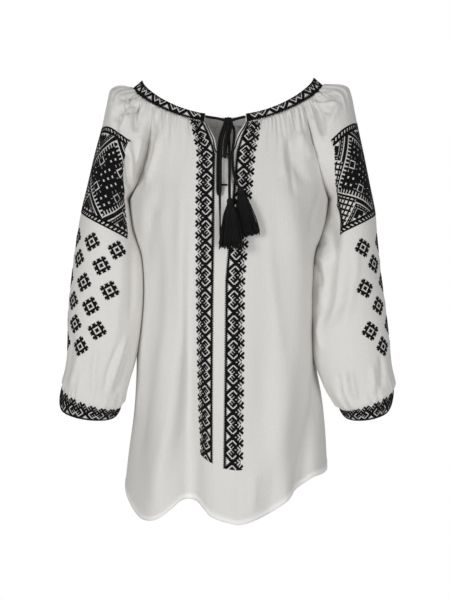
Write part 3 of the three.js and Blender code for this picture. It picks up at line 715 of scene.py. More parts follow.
class Cloth:
    """A sheet of cloth as rows of points: its outer face, each point's outward direction, and its mesh."""

    def __init__(self, rows, joined=None, split=None):
        """joined makes columns that meet share their points, and split is a column left open."""
        self.shape = rows.shape[:2]
        self.ids = np.arange(rows.shape[0] * rows.shape[1]).reshape(self.shape)
        if joined is not None:
            joined(self.ids)
        a, b, c, d = self.ids[:-1, :-1], self.ids[1:, :-1], self.ids[1:, 1:], self.ids[:-1, 1:]
        keep = np.ones(a.shape, bool)
        if split is not None:
            keep[:, split] = False
        self.faces = np.stack([a, b, c, d], -1)[keep]
        self.points = rows.reshape(-1, 3).copy()
        self.settle()

    def settle(self):
        """Puts shared points together and works out the directions again."""
        self.points = self.points[self.ids.ravel()]
        self.normals = normals_of(self.points, self.faces)[self.ids.ravel()]

    def move(self, out_by):
        """Moves every point outwards by its own distance."""
        self.points = self.points + self.normals * np.asarray(out_by).reshape(-1, 1)
        self.settle()

    def grid(self):
        """The points as rows."""
        return self.points.reshape(*self.shape, 3)

    def beside_seam(self, rows, width):
        """How close each point lies to the seams at the sides of the first rows: 1 on a seam, then less."""
        run = lengths_of(self.grid(), 1)
        near = np.exp(-(np.minimum(run, run[:, -1:] - run) / width) ** 2)
        near[rows:] *= np.exp(-(np.arange(len(near) - rows) / SEAM_REACH["rows"]) ** 2)[:, None]
        return near

    def crease(self, creases, seamed, facing=-1):
        """Folds along routes given as x and z, on the side that faces front (-1) or back (1).

        Beside the seams of the first rows they move straight forward or back, alike on both sheets.
        """
        flat = self.points[:, [0, 2]]
        toward = np.clip(self.normals[:, 1] * facing * CREASE["turn"], 0, 1)
        out_by = np.zeros(len(flat))
        for route, width, depth in creases:
            gap, share = line_distance(flat, route)
            fade = np.clip(np.minimum(share, 1 - share) / CREASE["ends"], 0, 1)
            fade = fade * fade * (3 - 2 * fade)
            beyond = np.clip(gap / width, 0, CREASE["reach"]) ** 2
            out_by += depth * fade * np.exp(-beyond) * (1 - CREASE["beside"] * beyond)
        seam = self.beside_seam(seamed, SEAM_REACH["crease"]).reshape(-1, 1)
        way = unit(self.normals * (1 - seam) + np.array([0, facing, 0]) * seam)
        self.points = self.points + way * (out_by * toward)[:, None]
        self.settle()

    def at(self, row, column):
        """Points and outward directions at any row and column, between those of the mesh."""
        row = np.clip(row, 0, self.shape[0] - SHORT_OF_LAST)
        column = np.clip(column, 0, self.shape[1] - SHORT_OF_LAST)
        i, j = row.astype(int), column.astype(int)
        u, v = (row - i)[..., None], (column - j)[..., None]
        found = []
        for values in (self.points, self.normals):
            grid = values.reshape(*self.shape, 3)
            found.append(
                (1 - u) * ((1 - v) * grid[i, j] + v * grid[i, j + 1])
                + u * ((1 - v) * grid[i + 1, j] + v * grid[i + 1, j + 1])
            )
        return found[0], unit(found[1])

    def shell(self, name, material, slot, thickness, doubled=None):
        """The finished sheet: both faces and the edge between them, with lengths in metres as its map.

        doubled tells where the cloth lies double, point by point, if it does.
        """
        used = np.unique(self.faces)
        short = np.zeros(len(self.points), int)
        short[used] = np.arange(len(used))
        faces = short[self.faces]
        outer = self.points[used]
        inner = outer - self.normals[used] * thickness
        count = len(used)
        edges = np.concatenate([faces[:, [k, (k + 1) % 4]] for k in range(4)])
        pairs = {(int(a), int(b)) for a, b in edges}
        rims = [(b, a, a + count, b + count) for a, b in pairs if a != b and (b, a) not in pairs]
        faces_all = faces.tolist() + (faces[:, ::-1] + count).tolist() + rims
        mesh = bpy.data.meshes.new(name)
        mesh.from_pydata((np.vstack([outer, inner]) * MM).tolist(), [], faces_all)
        across = lengths_of(self.grid(), 1)
        across -= across[:, [self.shape[1] // 2]]
        down = lengths_of(self.grid(), 0)
        lengths = np.stack([across.ravel(), down.ravel()], 1)[used] * MM
        map_corners(mesh, "cloth", np.vstack([lengths, lengths]))
        if doubled is not None:
            layers = mesh.attributes.new("doubled", "FLOAT", "POINT")
            layers.data.foreach_set("value", np.tile(doubled.ravel()[used], 2))
        mesh.shade_smooth()
        return finished_piece(name, mesh, material)


# How much one gather differs from the next, and how it gets wider and lower away from its seam.
UNEVEN = {
    "first": (0.3, 1), "span": (0.75, 1.25), "depth": (0.35, 1.2), "reach": (0.5, 1.35),
    "drift": (-0.12, 0.12), "gap": (0.65, 1.4),
}
GATHER = {"widens": 1.2, "fades": 1.3}


def gathers(seed, run, gap, span, depth, reach):
    """Small folds standing side by side along a seam, uneven in place, height and length."""
    draw = random.Random(seed)
    sizes = {"span": span, "depth": depth, "reach": reach, "drift": 1}
    rows = []
    at = run[0] + draw.uniform(*UNEVEN["first"]) * gap
    while at < run[1]:
        rows.append((at, *[draw.uniform(*UNEVEN[key]) * size for key, size in sizes.items()]))
        at += draw.uniform(*UNEVEN["gap"]) * gap
    return rows


def gathered(rows, along, below):
    """How far a set of gathers lifts the cloth, at a place along the seam and a distance from it."""
    lift = np.zeros_like(along)
    for at, span, depth, reach, drift in rows:
        fade = np.clip(1 - below / reach, 0, 1)
        wide = span * (1 + GATHER["widens"] * (1 - fade))
        off = (along - at - drift * below) / wide
        lift += depth * fade ** GATHER["fades"] * np.exp(-off * off)
    return lift


# The cotton's colour and surface: a plain weave with slubs and fine crumples, streaked from top to bottom.
cotton, tree, shader = finish_of("fine_cotton", (0.79, 0.775, 0.755, 1), 0.88)
shader.inputs["Sheen Weight"].default_value = 0.12
shader.inputs["Specular IOR Level"].default_value = 0.22
lengths = node(tree, "ShaderNodeUVMap")
lengths.uv_map = "cloth"
warp = node(tree, "ShaderNodeTexWave", Scale=620.0, Distortion=0.8, Detail=1.0)
weft = node(tree, "ShaderNodeTexWave", Scale=560.0, Distortion=0.8, Detail=1.0)
weft.bands_direction = "Y"
weave = node(tree, "ShaderNodeMath", operation="ADD")
slubs = node(tree, "ShaderNodeTexNoise", Scale=240.0, Detail=5.0)
crumple = node(tree, "ShaderNodeTexNoise", Scale=34.0, Detail=3.0)
stretched = node(tree, "ShaderNodeMapping", Scale=(1, 0.07, 1))
streaks = node(tree, "ShaderNodeTexNoise", Scale=230.0, Detail=3.0, Roughness=0.6)
fine_bump = node(tree, "ShaderNodeBump", Strength=0.22, Distance=0.00025)
soft_bump = node(tree, "ShaderNodeBump", Strength=0.35, Distance=0.0016)
streak_bump = node(tree, "ShaderNodeBump", Strength=0.5, Distance=0.0009)
layers = node(tree, "ShaderNodeAttribute")
layers.attribute_name = "doubled"
hem_tint = node(tree, "ShaderNodeMix", data_type="RGBA")
hem_tint.inputs["B"].default_value = (0.97, 0.96, 0.94, 1)
tint = node(tree, "ShaderNodeMix", data_type="RGBA")
tint.inputs["A"].default_value = (0.755, 0.74, 0.715, 1)
tint.inputs["B"].default_value = (0.825, 0.812, 0.792, 1)
wire(tree, [(lengths, "UV", pattern, "Vector") for pattern in (warp, weft, slubs, crumple, stretched)])
wire(tree, [
    (warp, "Fac", weave, 0),
    (weft, "Fac", weave, 1),
    (weave, "Value", fine_bump, "Height"),
    (crumple, "Fac", soft_bump, "Height"),
    (stretched, "Vector", streaks, "Vector"),
    (streaks, "Fac", streak_bump, "Height"),
    (fine_bump, "Normal", soft_bump, "Normal"),
    (soft_bump, "Normal", streak_bump, "Normal"),
    (streak_bump, "Normal", shader, "Normal"),
    (slubs, "Fac", tint, "Factor"),
    (tint, "Result", hem_tint, "A"),
    (layers, "Fac", hem_tint, "Factor"),
    (hem_tint, "Result", shader, "Base Color"),
])

# The four sheets, laid out in rows and columns. The front's columns are counted from each side to the slit.
ROWS = {"body": (80, 120), "sleeve": (90, 110)}  # above and below the underarm
SEAM_ROWS = {"body": 81, "sleeve": 90}  # the first rows, which have a raglan seam at both sides
FRONT_HALF = 84
BACK_COLUMNS = 150
SLEEVE_COLUMNS = 180
EASE = {"rows": 8, "levels": 0.14, "sides": 8}


def levels_of(above, below):
    """The levels of a sheet's rows."""
    return np.concatenate([np.linspace(0, 1, above + 1), np.linspace(1, 2, below + 1)[1:]])


BODY_LEVELS = levels_of(*ROWS["body"])
SLEEVE_LEVELS = levels_of(*ROWS["sleeve"])
levels = BODY_LEVELS[:, None]
height = read(CENTRE, "front_z", BODY_LEVELS)
slit_open = BODY_LEVELS < SLIT["level"]
left_edge = np.where(slit_open, read(V_EDGES, "left", height, key="z"), SLIT["x"])
right_edge = np.where(slit_open, read(V_EDGES, "right", height, key="z"), SLIT["x"])
left_across = front_across(BODY_LEVELS, left_edge)[:, None]
right_across = front_across(BODY_LEVELS, right_edge)[:, None]
half = np.linspace(0, 1, FRONT_HALF + 1)[None]
across = np.hstack([-1 + (left_across + 1) * half, right_across + (1 - right_across) * half])


def join_below_slit(ids):
    """Below the slit the two middle columns of the front are one."""
    ids[~slit_open, FRONT_HALF + 1] = ids[~slit_open, FRONT_HALF]


def seam_inset(rows):
    """Draws the side edges of a sheet back a little from the seams."""
    for edge, inward in ((0, 1), (-1, -2)):
        rows[:, edge] += unit(rows[:, inward] - rows[:, edge]) * SEAM_GAP
    return rows


def eased(rows, across):
    """Rows of cloth with the turn at the underarm's level eased, except beside the seams."""
    weight = np.exp(-np.linspace(-2, 2, 2 * EASE["rows"] + 1) ** 2)
    padded = np.pad(rows, ((EASE["rows"], EASE["rows"]), (0, 0), (0, 0)), mode="edge")
    soft = sum(w * padded[k:k + len(rows)] for k, w in enumerate(weight)) / weight.sum()
    share = np.exp(-(((levels - 1) / EASE["levels"]) ** 4)) * (1 - np.abs(across) ** EASE["sides"])
    return rows + (soft - rows) * share[..., None]


front_rows = seam_inset(eased(body_point(levels, across, "front"), across))
front_cloth = Cloth(front_rows, join_below_slit, split=FRONT_HALF)
back_across = np.linspace(1, -1, BACK_COLUMNS + 1)[None]
back_cloth = Cloth(seam_inset(eased(body_point(levels, back_across, "back"), back_across)))
above_underarm = SLEEVE_LEVELS < 1


def join_under_arm(ids):
    """Below the underarm the two side edges of a sleeve are one."""
    ids[~above_underarm, -1] = ids[~above_underarm, 0]


sleeve_cloths = {}
for way in (-1, 1):
    rows = sleeve_point(SLEEVE_LEVELS[:, None], np.linspace(0, 1, SLEEVE_COLUMNS + 1)[None], way)
    rows[above_underarm] = seam_inset(rows[above_underarm])
    if way < 0:
        rows = rows[:, ::-1]
    sleeve_cloths[way] = Cloth(rows, join_under_arm)

# Small gathers stand along the neckband and above the cuffs, and a few larger ones reach further down or up.
# Beside the slit, where the strips are stitched, the front is calmer.
NECK_GATHERS = {"gap": 5.6, "span": 1.5, "depth": 5, "reach": 66}
CUFF_GATHERS = {"gap": 8.5, "span": 2.4, "depth": 4.2, "reach": 50}
LARGE_GATHERS = {
    "front": {"gap": 13, "span": 3.4, "depth": 4.4, "reach": 110},
    "back": {"gap": 14, "span": 3.6, "depth": 4.4, "reach": 115},
    "cuff": {"gap": 19, "span": 5, "depth": 2.6, "reach": 85},
}
GATHER_START = {"least": 0.25, "reach": 5}
STRIP_CALM = {"depth": 0.75, "x": 18, "half": 16}
CUFF_CALM = {"flat": 6, "rise": 7}
BODY_RUN = (-150, 150)
SEWN_IN = {"neck": 2, "cuff": 3, "large": 8}  # how far from a sleeve's seam its gathers end
SEEDS = {"front": 5, "back": 7, "neck": 20, "cuff": 30, "large": 40}


def at_band(below):
    """How much of a gather's height there is at a distance below the neckband."""
    return np.clip(GATHER_START["least"] + below / GATHER_START["reach"], 0, 1)


def gather_body(cloth, part, middle, calm):
    """Gathers down from the neckband on the front or the back; middle is its middle columns."""
    run = lengths_of(cloth.grid(), 1)
    below = lengths_of(cloth.grid(), 0)
    along = np.broadcast_to(run[0] - run[0, middle].mean(), run.shape)
    near_slit = np.exp(-(((np.abs(along) - STRIP_CALM["x"]) / STRIP_CALM["half"]) ** 4))
    rows = gathers(SEEDS[part], BODY_RUN, **NECK_GATHERS)
    rows += gathers(SEEDS[part] + 1, BODY_RUN, **LARGE_GATHERS[part])
    clear = 1 - cloth.beside_seam(SEAM_ROWS["body"], SEAM_REACH["gather"])
    cloth.move(gathered(rows, along, below) * (1 - calm * near_slit) * at_band(below) * clear)


gather_body(front_cloth, "front", [FRONT_HALF, FRONT_HALF + 1], STRIP_CALM["depth"])
gather_body(back_cloth, "back", [BACK_COLUMNS // 2], 0)
for way, cloth in sleeve_cloths.items():
    run = lengths_of(cloth.grid(), 1)
    below = lengths_of(cloth.grid(), 0)
    neck_run = (SEWN_IN["neck"], run[0, -1] - SEWN_IN["neck"])
    rows = gathers(SEEDS["neck"] + way, neck_run, **NECK_GATHERS)
    clear = 1 - cloth.beside_seam(SEAM_ROWS["sleeve"], SEAM_REACH["gather"])
    lift = gathered(rows, np.broadcast_to(run[0], run.shape), below) * at_band(below) * clear
    above_cuff = below[-1:] - below
    rows = gathers(SEEDS["cuff"] + way, (0, run[-1, -1] - SEWN_IN["cuff"]), **CUFF_GATHERS)
    rows += gathers(SEEDS["large"] + way, (0, run[-1, -1] - SEWN_IN["large"]), **LARGE_GATHERS["cuff"])
    lift += gathered(rows, np.broadcast_to(run[-1], run.shape), above_cuff)
    cloth.move(lift * np.clip((above_cuff - CUFF_CALM["flat"]) / CUFF_CALM["rise"], 0, 1))

# The creases, laid one by one: the route of each as x and z, its half width, and how far it stands out (or
# in).
RAGLAN_CREASES = [
    ([(-115, -56), (-119, -86), (-124, -114), (-134, -146), (-142, -176)], 8.5, -16),
    ([(-132, -89), (-136, -113), (-141, -138)], 5, 4.8),
    ([(119, -57), (127, -82), (130, -100), (132, -118)], 2.6, -5.1),
    ([(127, -57), (138, -82), (144, -106)], 6.5, 4.5),
]
FRONT_CREASES = [
    ([(-70, -110), (-69, -240), (-71, -400), (-84, -520), (-102, -618), (-108, -700)], 13, 7),
    ([(-92, -380), (-94, -470), (-106, -600), (-112, -700)], 22, 7),
    ([(-104, -120), (-110, -220), (-112, -380), (-132, -520), (-140, -640)], 13, -6),
    ([(64, -110), (92, -200), (106, -300), (102, -410), (84, -510), (56, -610), (40, -700)], 26, 10),
    ([(146, -400), (138, -500), (112, -610), (100, -690)], 12, -8),
    ([(92, -96), (97, -128), (112, -154), (132, -158)], 12, -5),
    ([(110, -82), (122, -108), (133, -134)], 11, 5),
    ([(-108, -83), (-112, -113), (-120, -143), (-132, -171)], 6, 4.8),
    ([(-119, -189), (-124, -240), (-129, -297)], 9, -3.3),
    ([(-103, -189), (-109, -255), (-115, -331)], 11, 3),
    ([(-58, -202), (-59, -288), (-60, -391), (-62, -527), (-62, -632)], 7, -2.2),
    ([(-121, -331), (-126, -391), (-135, -496), (-142, -602)], 9, -3.6),
    ([(-44, -527), (-49, -647)], 6, -1.8),
    ([(60, -180), (63, -285), (76, -400), (80, -470)], 8, 1.6),
    ([(93, -86), (94, -119), (96, -152), (98, -195)], 5, -2.7),
    ([(83, -86), (84, -119), (84, -165)], 6, 2.4),
    ([(149, -168), (140, -190), (131, -212), (120, -240)], 5, -3),
    ([(140, -512), (129, -557), (119, -614)], 8, 2),
    ([(39, -602), (36, -670)], 7, 2.4),
    ([(15, -617), (13, -678)], 6, -1.8),
]
BACK_CREASES = [
    ([(-120, -85), (-126, -118), (-137, -152), (-146, -184)], 5.5, -7.5),
    ([(-107, -84), (-112, -120), (-122, -156)], 6, 4.5),
    ([(118, -85), (125, -116), (137, -150), (145, -184)], 5.5, -6.8),
    ([(106, -88), (111, -124), (120, -160)], 6, 3.9),
    ([(-88, -150), (-94, -260), (-106, -400), (-116, -560), (-120, -650)], 10, 3.6),
    ([(-62, -190), (-66, -300), (-74, -470), (-80, -620)], 9, -3.6),
    ([(-30, -170), (-28, -300), (-27, -460), (-30, -640)], 11, 2.7),
    ([(2, -240), (4, -380), (8, -520), (10, -640)], 9, -3),
    ([(34, -180), (40, -320), (52, -480), (58, -640)], 10, 3.3),
    ([(70, -200), (76, -340), (88, -500), (92, -630)], 9, -3.6),
    ([(100, -250), (108, -400), (120, -560)], 9, 3.3),
    ([(124, -330), (128, -440), (138, -560)], 8, -3.3),
]
LEFT_CREASES = [
    ([(-146, -26), (-162, -44), (-180, -70)], 7, -8.5),
    ([(-152, -96), (-155, -112), (-155, -130)], 6, 5),
    ([(-157, -112), (-159, -134), (-158, -158), (-155, -186)], 4.2, -6.9),
    ([(-149, -109), (-150, -131), (-150, -155), (-149, -180)], 4.6, 4.8),
    ([(-137, -34), (-141, -52), (-143, -68), (-143, -88)], 6, -9),
    ([(-135, -45), (-138, -60), (-138, -76)], 4, -3.9),
    ([(-141, -26), (-157, -28), (-172, -33)], 3.4, -3.6),
    ([(-140, -33), (-154, -36), (-174, -45)], 3.6, 3.6),
    ([(-138, -37), (-154, -43), (-171, -59)], 3.6, -4.2),
    ([(-151, -54), (-164, -69), (-174, -86)], 5, 3),
    ([(-131, -43), (-144, -48), (-160, -59)], 3.4, -3.3),
    ([(-184, -26), (-181, -51), (-183, -72)], 6, 2.4),
    ([(-166, -58), (-172, -74), (-176, -92)], 7, -6),
    ([(-152, -192), (-149, -254), (-148, -330), (-151, -392)], 6, -3.9),
    ([(-163, -247), (-166, -315), (-172, -392), (-181, -453)], 9, 2.7),
    ([(-148, -401), (-160, -441), (-172, -481), (-178, -499)], 5, -5.1),
    ([(-154, -392), (-169, -441), (-183, -484)], 5.5, 3.9),
    ([(-167, -407), (-184, -456), (-192, -496)], 5, -3.3),
    ([(-201, -407), (-206, -453), (-207, -496)], 6, 2.7),
    ([(-227, -422), (-237, -456), (-246, -484)], 6, 3),
    ([(-240, -392), (-246, -438), (-253, -476)], 5, -2.7),
]
LEFT_BACK_CREASES = [
    ([(-150, -50), (-146, -72), (-143, -92)], 4.5, -4.5),
    ([(-142, -30), (-158, -36), (-174, -44)], 3.8, -3.6),
    ([(-152, -120), (-158, -150), (-156, -182)], 5, -6),
    ([(-160, -200), (-158, -270), (-160, -340)], 7, -3.6),
    ([(-190, -240), (-196, -320), (-206, -400)], 9, 3),
    ([(-165, -390), (-178, -440), (-188, -486)], 5.5, -4.2),
    ([(-215, -400), (-222, -444), (-226, -482)], 6, 3),
    ([(-238, -400), (-246, -440), (-250, -478)], 5, -2.7),
]
RIGHT_CREASES = [
    ([(161, -170), (160, -223), (157, -285), (150, -346), (138, -400)], 13, -15),
    ([(146, -222), (156, -250), (152, -296)], 7, 6),
    ([(135, -36), (143, -60), (148, -94)], 6, -10),
    ([(134, -28), (145, -33), (158, -33)], 4, -6),
    ([(133, -25), (150, -23), (169, -20)], 3.4, 3),
    ([(138, -39), (153, -40), (172, -37)], 3.6, 3),
    ([(129, -39), (144, -49), (162, -57)], 3.8, -3),
    ([(176, -36), (166, -54), (156, -76)], 6, 3),
    ([(156, -192), (159, -232), (164, -272)], 6, -7.5),
    ([(149, -146), (146, -192), (144, -241)], 7, 3),
    ([(172, -254), (179, -287), (172, -346), (156, -392)], 9, -5.1),
    ([(196, -254), (196, -300), (187, -346), (175, -392)], 8, 3),
    ([(130, -272), (137, -264), (149, -252)], 3.4, -5.4),
    ([(133, -276), (137, -290), (140, -309), (139, -330)], 3.4, -5.1),
    ([(137, -300), (134, -330), (133, -360)], 3.4, -3.9),
    ([(138, -270), (147, -287), (148, -315), (143, -346)], 4.4, 4.5),
    ([(138, -360), (140, -390), (146, -430)], 4, 3.9),
    ([(169, -456), (172, -481), (176, -502)], 5, -3.6),
    ([(187, -450), (193, -478), (198, -502)], 5.5, 4.5),
    ([(179, -447), (181, -474), (184, -505)], 4.5, -3),
    ([(221, -441), (224, -474), (222, -496)], 6, 3.6),
    ([(235, -425), (238, -456), (236, -487)], 5, -3.3),
]
RIGHT_BACK_CREASES = [
    ([(148, -48), (145, -70), (142, -90)], 4.5, -4.5),
    ([(144, -26), (160, -30), (176, -38)], 3.8, -3.3),
    ([(154, -118), (159, -150), (158, -182)], 5, -5.4),
    ([(160, -210), (158, -280), (156, -350)], 7, -3.9),
    ([(192, -250), (196, -330), (204, -410)], 9, 3),
    ([(170, -400), (184, -446), (192, -488)], 5.5, -3.9),
    ([(216, -404), (222, -446), (226, -484)], 6, 3.3),
]
# The first four of the back's run over the raglan seams, so the sleeves have them too.
front_cloth.crease(RAGLAN_CREASES + FRONT_CREASES, SEAM_ROWS["body"])
back_cloth.crease(BACK_CREASES, SEAM_ROWS["body"], facing=1)
sleeve_cloths[-1].crease(RAGLAN_CREASES + LEFT_CREASES, SEAM_ROWS["sleeve"])
sleeve_cloths[-1].crease(LEFT_BACK_CREASES + BACK_CREASES[:2], SEAM_ROWS["sleeve"], facing=1)
sleeve_cloths[1].crease(RAGLAN_CREASES + RIGHT_CREASES, SEAM_ROWS["sleeve"])
sleeve_cloths[1].crease(RIGHT_BACK_CREASES + BACK_CREASES[2:4], SEAM_ROWS["sleeve"], facing=1)


# The finished panels. Front and back end in a narrow hem, turned up once, where the cloth lies double and
# looks a little lighter; their other edges are seams.
HEM_UP = 8
HEM_LIFTED = 0.5


def finish_body(cloth, name, stands_for):
    """The finished front or back, with its hem turned up."""
    below = lengths_of(cloth.grid(), 0)
    doubled = np.clip((HEM_UP + 1 - (below[-1:] - below)) / 2, 0, 1)
    cloth.move(doubled * HEM_LIFTED)
    panel = cloth.shell(name, cotton, "cotton", CLOTH, doubled)
    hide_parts(stands_for)
    return panel


front_panel = finish_body(front_cloth, "front_panel", "front")
back_panel = finish_body(back_cloth, "back_panel", "back")
left_sleeve = sleeve_cloths[-1].shell("left_sleeve", cotton, "cotton", CLOTH)
right_sleeve = sleeve_cloths[1].shell("right_sleeve", cotton, "cotton", CLOTH)
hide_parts("sleeve_left")
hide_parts("sleeve_right")


# The embroidery: counted cross stitch in black cotton, worked over a grid of cells. Each patch of it is one
# raised sheet a stitch high with a cell for every stitch, and the bare cells of its chart are left open.
STITCH = {"height": 0.42, "root": 0.25, "thread": 0.36}  # thread is its half width as a share of a cell


def stitch_thread():
    """Black stitches: two crossed threads in every cell, with painted shade in the hollows between them."""
    made, tree, shader = finish_of("stitch_thread", BLACK, BLACK_ROUGHNESS)
    shader.inputs["Specular IOR Level"].default_value = 0.18
    cells = node(tree, "ShaderNodeUVMap")
    cells.uv_map = "cells"
    split = node(tree, "ShaderNodeSeparateXYZ")
    along = node(tree, "ShaderNodeMath", operation="FRACT")
    across = node(tree, "ShaderNodeMath", operation="FRACT")
    falling = node(tree, "ShaderNodeMath", operation="SUBTRACT")
    total = node(tree, "ShaderNodeMath", operation="ADD")
    rising = node(tree, "ShaderNodeMath", operation="SUBTRACT")
    rising.inputs[1].default_value = 1
    beside_falling = node(tree, "ShaderNodeMath", operation="ABSOLUTE")
    beside_rising = node(tree, "ShaderNodeMath", operation="ABSOLUTE")
    nearest = node(tree, "ShaderNodeMath", operation="MINIMUM")
    thread = node(tree, "ShaderNodeMapRange")
    thread.inputs["From Max"].default_value = STITCH["thread"]
    thread.inputs["To Min"].default_value = 1
    thread.inputs["To Max"].default_value = 0
    bump = node(tree, "ShaderNodeBump", Strength=0.8, Distance=0.0004)
    # Painted shade: the colour goes darker away from the threads, into the hollows between them.
    tint = node(tree, "ShaderNodeMix", data_type="RGBA")
    tint.inputs["A"].default_value = (0.0008, 0.0008, 0.0008, 1)
    tint.inputs["B"].default_value = (0.0042, 0.004, 0.0042, 1)
    wire(tree, [
        (cells, "UV", split, "Vector"),
        (split, "X", along, 0),
        (split, "Y", across, 0),
        (along, "Value", falling, 0),
        (across, "Value", falling, 1),
        (along, "Value", total, 0),
        (across, "Value", total, 1),
        (total, "Value", rising, 0),
        (falling, "Value", beside_falling, 0),
        (rising, "Value", beside_rising, 0),
        (beside_falling, "Value", nearest, 0),
        (beside_rising, "Value", nearest, 1),
        (nearest, "Value", thread, "Value"),
        (thread, "Result", bump, "Height"),
        (thread, "Result", tint, "Factor"),
        (bump, "Normal", shader, "Normal"),
        (tint, "Result", shader, "Base Color"),
    ])
    return made


class Stitches:
    """Patches of stitches, gathered into one mesh."""

    def __init__(self):
        self.points, self.faces, self.cells, self.count = [], [], [], 0

    def add(self, chart, corners, normals, flip=False):
        """Stitches where the chart is true; corners has a row and a column more than the chart."""
        rows, columns = chart.shape
        above = self.count + np.arange((rows + 1) * (columns + 1)).reshape(rows + 1, columns + 1)
        under = above + above.size
        a, b, c, d = above[:-1, :-1], above[1:, :-1], above[1:, 1:], above[:-1, 1:]
        faces = [np.stack([a, b, c, d], -1)[chart]]
        framed = np.pad(chart, 1)
        inside = framed[1:-1, 1:-1]
        sides = [
            (a, b, framed[1:-1, :-2]), (b, c, framed[2:, 1:-1]),
            (c, d, framed[1:-1, 2:]), (d, a, framed[:-2, 1:-1]),
        ]
        for start, end, beside in sides:
            open_side = inside & ~beside
            first, last = start[open_side], end[open_side]
            faces.append(np.stack([last, first, first + above.size, last + above.size], -1))
        faces = np.concatenate(faces)
        if flip:
            faces = faces[:, ::-1]
        self.faces.append(faces)
        self.points += [
            (corners + normals * STITCH["height"]).reshape(-1, 3),
            (corners - normals * STITCH["root"]).reshape(-1, 3),
        ]
        place = np.stack(np.meshgrid(np.arange(columns + 1), np.arange(rows + 1)), -1).reshape(-1, 2)
        self.cells += [place, place]
        self.count = int(under.max()) + 1

    def build(self, name, material):
        points = np.vstack(self.points)
        faces = np.concatenate(self.faces)
        cells = np.vstack(self.cells).astype(float)
        used, short = np.unique(faces, return_inverse=True)
        faces = short.reshape(faces.shape)
        mesh = bpy.data.meshes.new(name)
        mesh.from_pydata((points[used] * MM).tolist(), [], faces.tolist())
        map_corners(mesh, "cells", cells[used])
        return finished_piece(name, mesh, material)


stitching = stitch_thread()


# The border pattern of the strips, the neckband and the cuffs. Its repeat is 28 rows, mirrored at the white
# triangles (row 0) and at the crossings between the hooks (row 14); columns count outwards from the edge.
BORDER_ROWS = 28
HALF_REPEAT = BORDER_ROWS // 2
BORDER_COLUMNS = 23
TRIANGLE = {3: (0, 2, 4), 4: (0, 1, 2, 3), 5: (0, 1, 2), 6: (0, 1), 7: (0,)}
HOOKS = [((10, 4), (-1, 1), 7), ((10, 4), (1, 1), 5), ((4, 10), (1, 1), 5)]
TEETH = [((6, 12), (1, -1), 4), ((8, 14), (1, -1), 4)]
LOBE = {"long": 25, "short": 20, "gaps": ((15, 16, 18), (11, 12, 16))}  # diagonals that bound and split it
END_NOTCH = slice(13, 15)


def border_half(bold):
    """Half a repeat; a bold one has only one bare diagonal in each notch between its lobes."""
    half = np.zeros((HALF_REPEAT + 1, BORDER_COLUMNS), bool)
    for r in range(HALF_REPEAT + 1):
        off = abs(r - HALF_REPEAT // 2)
        for c in range(BORDER_COLUMNS):
            notch = any(c - off in gap[bold:2] and c >= gap[2] for gap in LOBE["gaps"])
            half[r, c] = c + off <= LOBE["long"] and c - off <= LOBE["short"] and not notch
    half[1::2, 0] = False
    for c, rows in TRIANGLE.items():
        for r in rows:
            half[r, c] = False
    for (c, r), (step_c, step_r), count in HOOKS + TEETH:
        for k in range(count):
            half[r + k * step_r, c + k * step_c] = False
    for (c, r), (step_c, step_r), count in HOOKS:
        for k in range(1, count):
            half[r + (k - 1) * step_r, c + k * step_c] = False
    half[[0, HALF_REPEAT], END_NOTCH] = False
    return half


def border(rows, first=0, columns=BORDER_COLUMNS, bold=False):
    """The border's chart over any number of rows, starting at any row of its repeat."""
    r = (np.arange(rows) + first) % BORDER_ROWS
    return border_half(bold)[np.where(r > HALF_REPEAT, BORDER_ROWS - r, r), :columns]


# Two strips of it run down the front beside the slit, from just below the neckband to about 8 cm above the
# hem. x and z follow each strip's inner edge, and a row of triangles stands 120 rows above its lower end.
STRIPS = {
    "left": {
        "z": [-600, -500, -354, -262, -187, -125, -113, -95, -82, -73],
        "x": [-22.9, -22.9, -21.9, -20.6, -20, -19, -21.6, -28.5, -34.5, -39.5],
        "cell": 1.285, "width": 1.3, "end": -592,
    },
    "right": {
        "z": [-600, -504, -391, -315, -272, -248, -195, -137, -118, -95, -75],
        "x": [-7.8, -6.6, -5.5, -4.8, -1, 1.2, 5, 10.5, 12.6, 19.6, 28.9],
        "cell": 1.33, "width": 1.33, "end": -599,
    },
}
ROWS_TO_TRIANGLE = 120
STRIP_CLEAR = 1.2
strips = Stitches()
front_grid = front_cloth.grid()
for side, strip in STRIPS.items():
    if side == "left":
        order = np.arange(FRONT_HALF, -1, -1)
    else:
        order = np.arange(FRONT_HALF + 1, 2 * FRONT_HALF + 2)
    part = front_grid[:, order]
    count = np.arange(len(order))
    offset = np.maximum.accumulate(np.abs(part[..., 0] - SLIT["x"]), axis=1)
    edge = np.abs(np.interp(part[:, 0, 2], strip["z"], strip["x"]) - SLIT["x"])
    run = lengths_of(part, 1)
    start = np.array([np.interp(e, o, r) for e, o, r in zip(edge, offset, run)])
    reach = start[:, None] + np.arange(BORDER_COLUMNS + 1) * strip["width"]
    columns = np.array([np.interp(row, r, count) for row, r in zip(reach, run)])
    inner = np.array(
        [[np.interp(s, r, row[:, k]) for k in range(3)] for s, r, row in zip(start, run, part)]
    )
    height = run_of(inner)
    end = np.interp(-strip["end"], -inner[:, 2], height)
    rows_count = int((end - STRIP_CLEAR) / strip["cell"])
    level_at = np.interp(end - np.arange(rows_count + 1) * strip["cell"], height, np.arange(len(height)))
    column_at = np.array([np.interp(level_at, np.arange(len(height)), column) for column in columns.T]).T
    column_at = FRONT_HALF - column_at if side == "left" else FRONT_HALF + 1 + column_at
    corners, outward = front_cloth.at(np.repeat(level_at[:, None], BORDER_COLUMNS + 1, 1), column_at)
    chart = border(rows_count, -ROWS_TO_TRIANGLE % BORDER_ROWS)
    strips.add(chart, corners, outward, flip=side == "left")
strips.build("front_strips", stitching)


